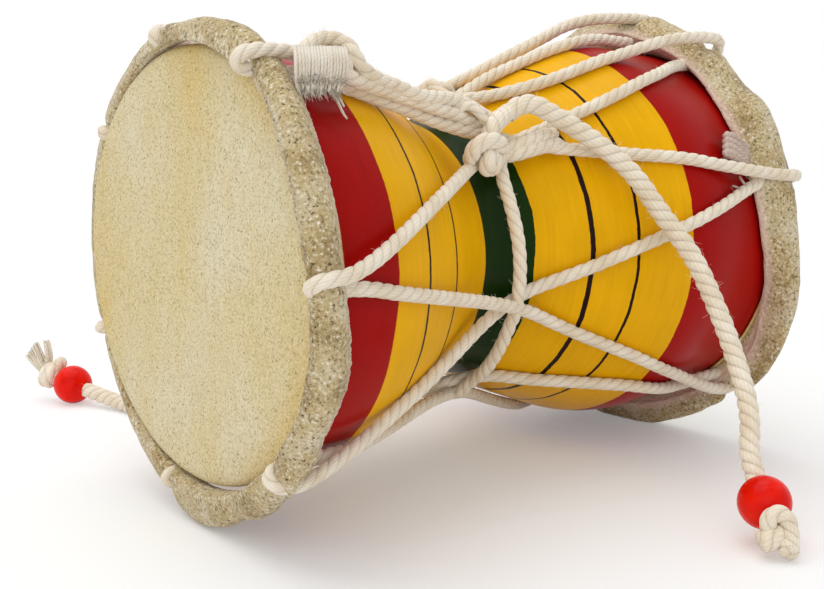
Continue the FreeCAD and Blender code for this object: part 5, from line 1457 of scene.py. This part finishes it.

# %% [markdown]
# ### Cotton
# Undyed cotton is a warm white. The grooves between strands are darkened with painted shade and dust, and
# the gaps between yarns are darkened with painted shade, as thin lines that lean across each strand.

# %% Cotton rope
def cotton_material(name, yarn_count, lean, light, dark):
    """Cotton with its yarns drawn on the strand map."""
    made, tree, shader = new_material(name)
    coords = add_node(tree, "ShaderNodeTexCoord")
    strands = add_node(tree, "ShaderNodeGroup", node_tree=yarns)
    fill(tree, strands, {"Strand map": coords.outputs["UV"], "Yarns": yarn_count, "Lean": lean})
    grime = add_noise(tree, coords.outputs["Object"], 120.0, 4.0, 0.6)
    fibre = add_noise(tree, coords.outputs["Object"], 2600.0, 3.0, 0.7)
    base = add_ramp(tree, grime, [(0.3, dark), (0.62, light)])
    # Thin darker lines in the gaps between yarns: painted shade.
    line = add_math(tree, "MULTIPLY", add_math(tree, "SUBTRACT", 1.0, strands.outputs["Yarn"]), 0.22)
    base = add_mix(tree, line, base, (0.52, 0.41, 0.27, 1))
    # Darker grooves between strands: painted shade, and dust.
    base = add_stain(tree, base, strands.outputs["Groove"], 0.42, (0.30, 0.21, 0.12, 1))
    flecks = add_clamp(tree, add_math(tree, "MULTIPLY_ADD", fibre, 5.0, -2.6))
    base = add_stain(tree, base, flecks, 0.5, (0.92, 0.86, 0.76, 1))
    fill(tree, shader, {"Base Color": base})
    fill(tree, shader, {"Roughness": 0.85, "Specular IOR Level": 0.2, "Sheen Weight": 0.35})
    height = add_math(tree, "MULTIPLY_ADD", strands.outputs["Yarn"], 0.6, fibre)
    add_bump(tree, shader, 0.5, 0.0003, height)
    return made


cotton = cotton_material("cotton_rope", 5.0, 3.0, (0.90, 0.82, 0.68, 1), (0.76, 0.64, 0.46, 1))
cotton_yarn = cotton_material("cotton_yarn", 2.0, 1.0, (0.95, 0.88, 0.76, 1), (0.84, 0.73, 0.56, 1))
cotton_dusty = cotton_material("cotton_dusty", 5.0, 3.0, (0.62, 0.47, 0.40, 1), (0.40, 0.27, 0.22, 1))

# %% Bead plastic
bead_plastic, tree, shader = new_material("bead_plastic")
coords = object_place(tree)
cloud = add_noise(tree, coords, 160.0, 2.0)
base = add_ramp(tree, cloud, [(0.3, (0.66, 0.003, 0.001, 1)), (0.7, (0.84, 0.014, 0.002, 1))])
fill(tree, shader, {"Base Color": base})
fill(tree, shader, {"Roughness": add_math(tree, "MULTIPLY_ADD", add_noise(tree, coords, 900.0), 0.2, 0.16)})
fill(tree, shader, {"Specular IOR Level": 0.08, "Coat Weight": 0.05, "Coat Roughness": 0.1})
add_bump(tree, shader, 0.1, 0.0003, add_noise(tree, coords, 500.0))

# %% Hoop wire
hoop_wire, tree, shader = new_material("hoop_wire")
coords = object_place(tree)
rust = add_noise(tree, coords, 300.0, 5.0, 0.7)
base = add_ramp(tree, rust, [(0.4, (0.42, 0.42, 0.42, 1)), (0.7, (0.25, 0.14, 0.08, 1))])
fill(tree, shader, {"Base Color": base})
fill(tree, shader, {"Metallic": add_math(tree, "SUBTRACT", 1.0, add_math(tree, "MULTIPLY", rust, 0.5))})
fill(tree, shader, {"Roughness": add_math(tree, "MULTIPLY_ADD", rust, 0.4, 0.25)})

# %% Dress the pieces
def dress(thing, material):
    """Give a piece one material."""
    thing.data.materials.clear()
    thing.data.materials.append(material)


dress(body, paint)
for piece in (head_left, head_right):
    dress(piece, head_hide)
for piece in (collar_left, collar_right, strip):
    dress(piece, collar_hide)
for piece in (striker_front, striker_back, lacing, waist_rope, spare, hitch, hitch_inner, back_knot,
              end_knot_front, knot_lobe, nub, end_knot_back, back_fold, fuzz_front, fuzz_back, lacing_fuzz,
              waist_fuzz, hitch_fuzz,
              *front_knots):
    dress(piece, cotton)
for piece in (fan, fan_fibres, long_ends, tuft):
    dress(piece, cotton_yarn)
for piece in tail_folds + [whiskers]:
    dress(piece, cotton_dusty)
for piece in (bead_front, bead_back):
    dress(piece, bead_plastic)
for piece in (hoop_small, hoop_large):
    dress(piece, hoop_wire)

# %% [markdown]
# ## The free cords
# The two strikers are free cords: their lengths are measured along the line, from the knot at
# the waist to the end inside the last knot.

# %% [markdown]
# ## Floor and light
# The drum lies on a white floor. Far from the drum the camera sees plain white. Near it only a
# fifth of that white is mixed in, so the drum's soft shadow stays. One wide soft lamp hangs
# above and behind, and a weaker one fills from the camera's side.

# %% Floor
bpy.ops.object.select_all(action="DESELECT")
bpy.ops.mesh.primitive_plane_add(size=6, location=(0, 0, 0))
floor = bpy.context.object
floor.name = "floor"
floor_white, tree, shader = new_material("floor_white")
fill(tree, shader, {"Base Color": grey(0.93), "Roughness": 0.9, "Specular IOR Level": 0.05})
seen = seen_directly(tree)
coords = object_place(tree)
away = add_node(tree, "ShaderNodeVectorMath", {0: coords}, operation="LENGTH").outputs["Value"]
far = add_node(tree, "ShaderNodeMapRange", {"Value": away, "From Min": 0.08, "From Max": 0.30, "To Min": 0.2},
               interpolation_type="SMOOTHSTEP").outputs[0]
plain_white = add_node(tree, "ShaderNodeEmission", {"Color": grey(1.0), "Strength": 1.0})
blend = add_node(tree, "ShaderNodeMixShader", {0: add_math(tree, "MULTIPLY", seen, far)})
tree.links.new(shader.outputs[0], blend.inputs[1])
tree.links.new(plain_white.outputs[0], blend.inputs[2])
tree.links.new(blend.outputs[0], tree.nodes["Material Output"].inputs["Surface"])
dress(floor, floor_white)

# %% Backdrop and world
SKY = 0.67
world = bpy.data.worlds.new("studio")
bpy.context.scene.world = world
world.use_nodes = True
tree = world.node_tree
backdrop = tree.nodes["Background"]
seen = seen_directly(tree)
tree.links.new(add_math(tree, "MULTIPLY_ADD", seen, 1 - SKY, SKY), backdrop.inputs["Strength"])
backdrop.inputs["Color"].default_value = grey(1.0)


# %% Lamps
def soft_lamp(name, place, target, size, power):
    """A square soft lamp that faces a target."""
    data = bpy.data.lights.new(name, "AREA")
    data.shape = "SQUARE"
    data.size = size
    data.energy = power
    lamp = bpy.data.objects.new(name, data)
    bpy.context.scene.collection.objects.link(lamp)
    lamp.location = place
    lamp.rotation_euler = (Vector(target) - Vector(place)).to_track_quat("-Z", "Y").to_euler()
    return lamp


soft_lamp("top_lamp", (-0.12, 0.28, 1.1), (0, 0, 0.05), 1.2, 7.5)
soft_lamp("side_lamp", (-0.9, -0.9, 0.75), (0, 0, 0.08), 1.2, 4.0)
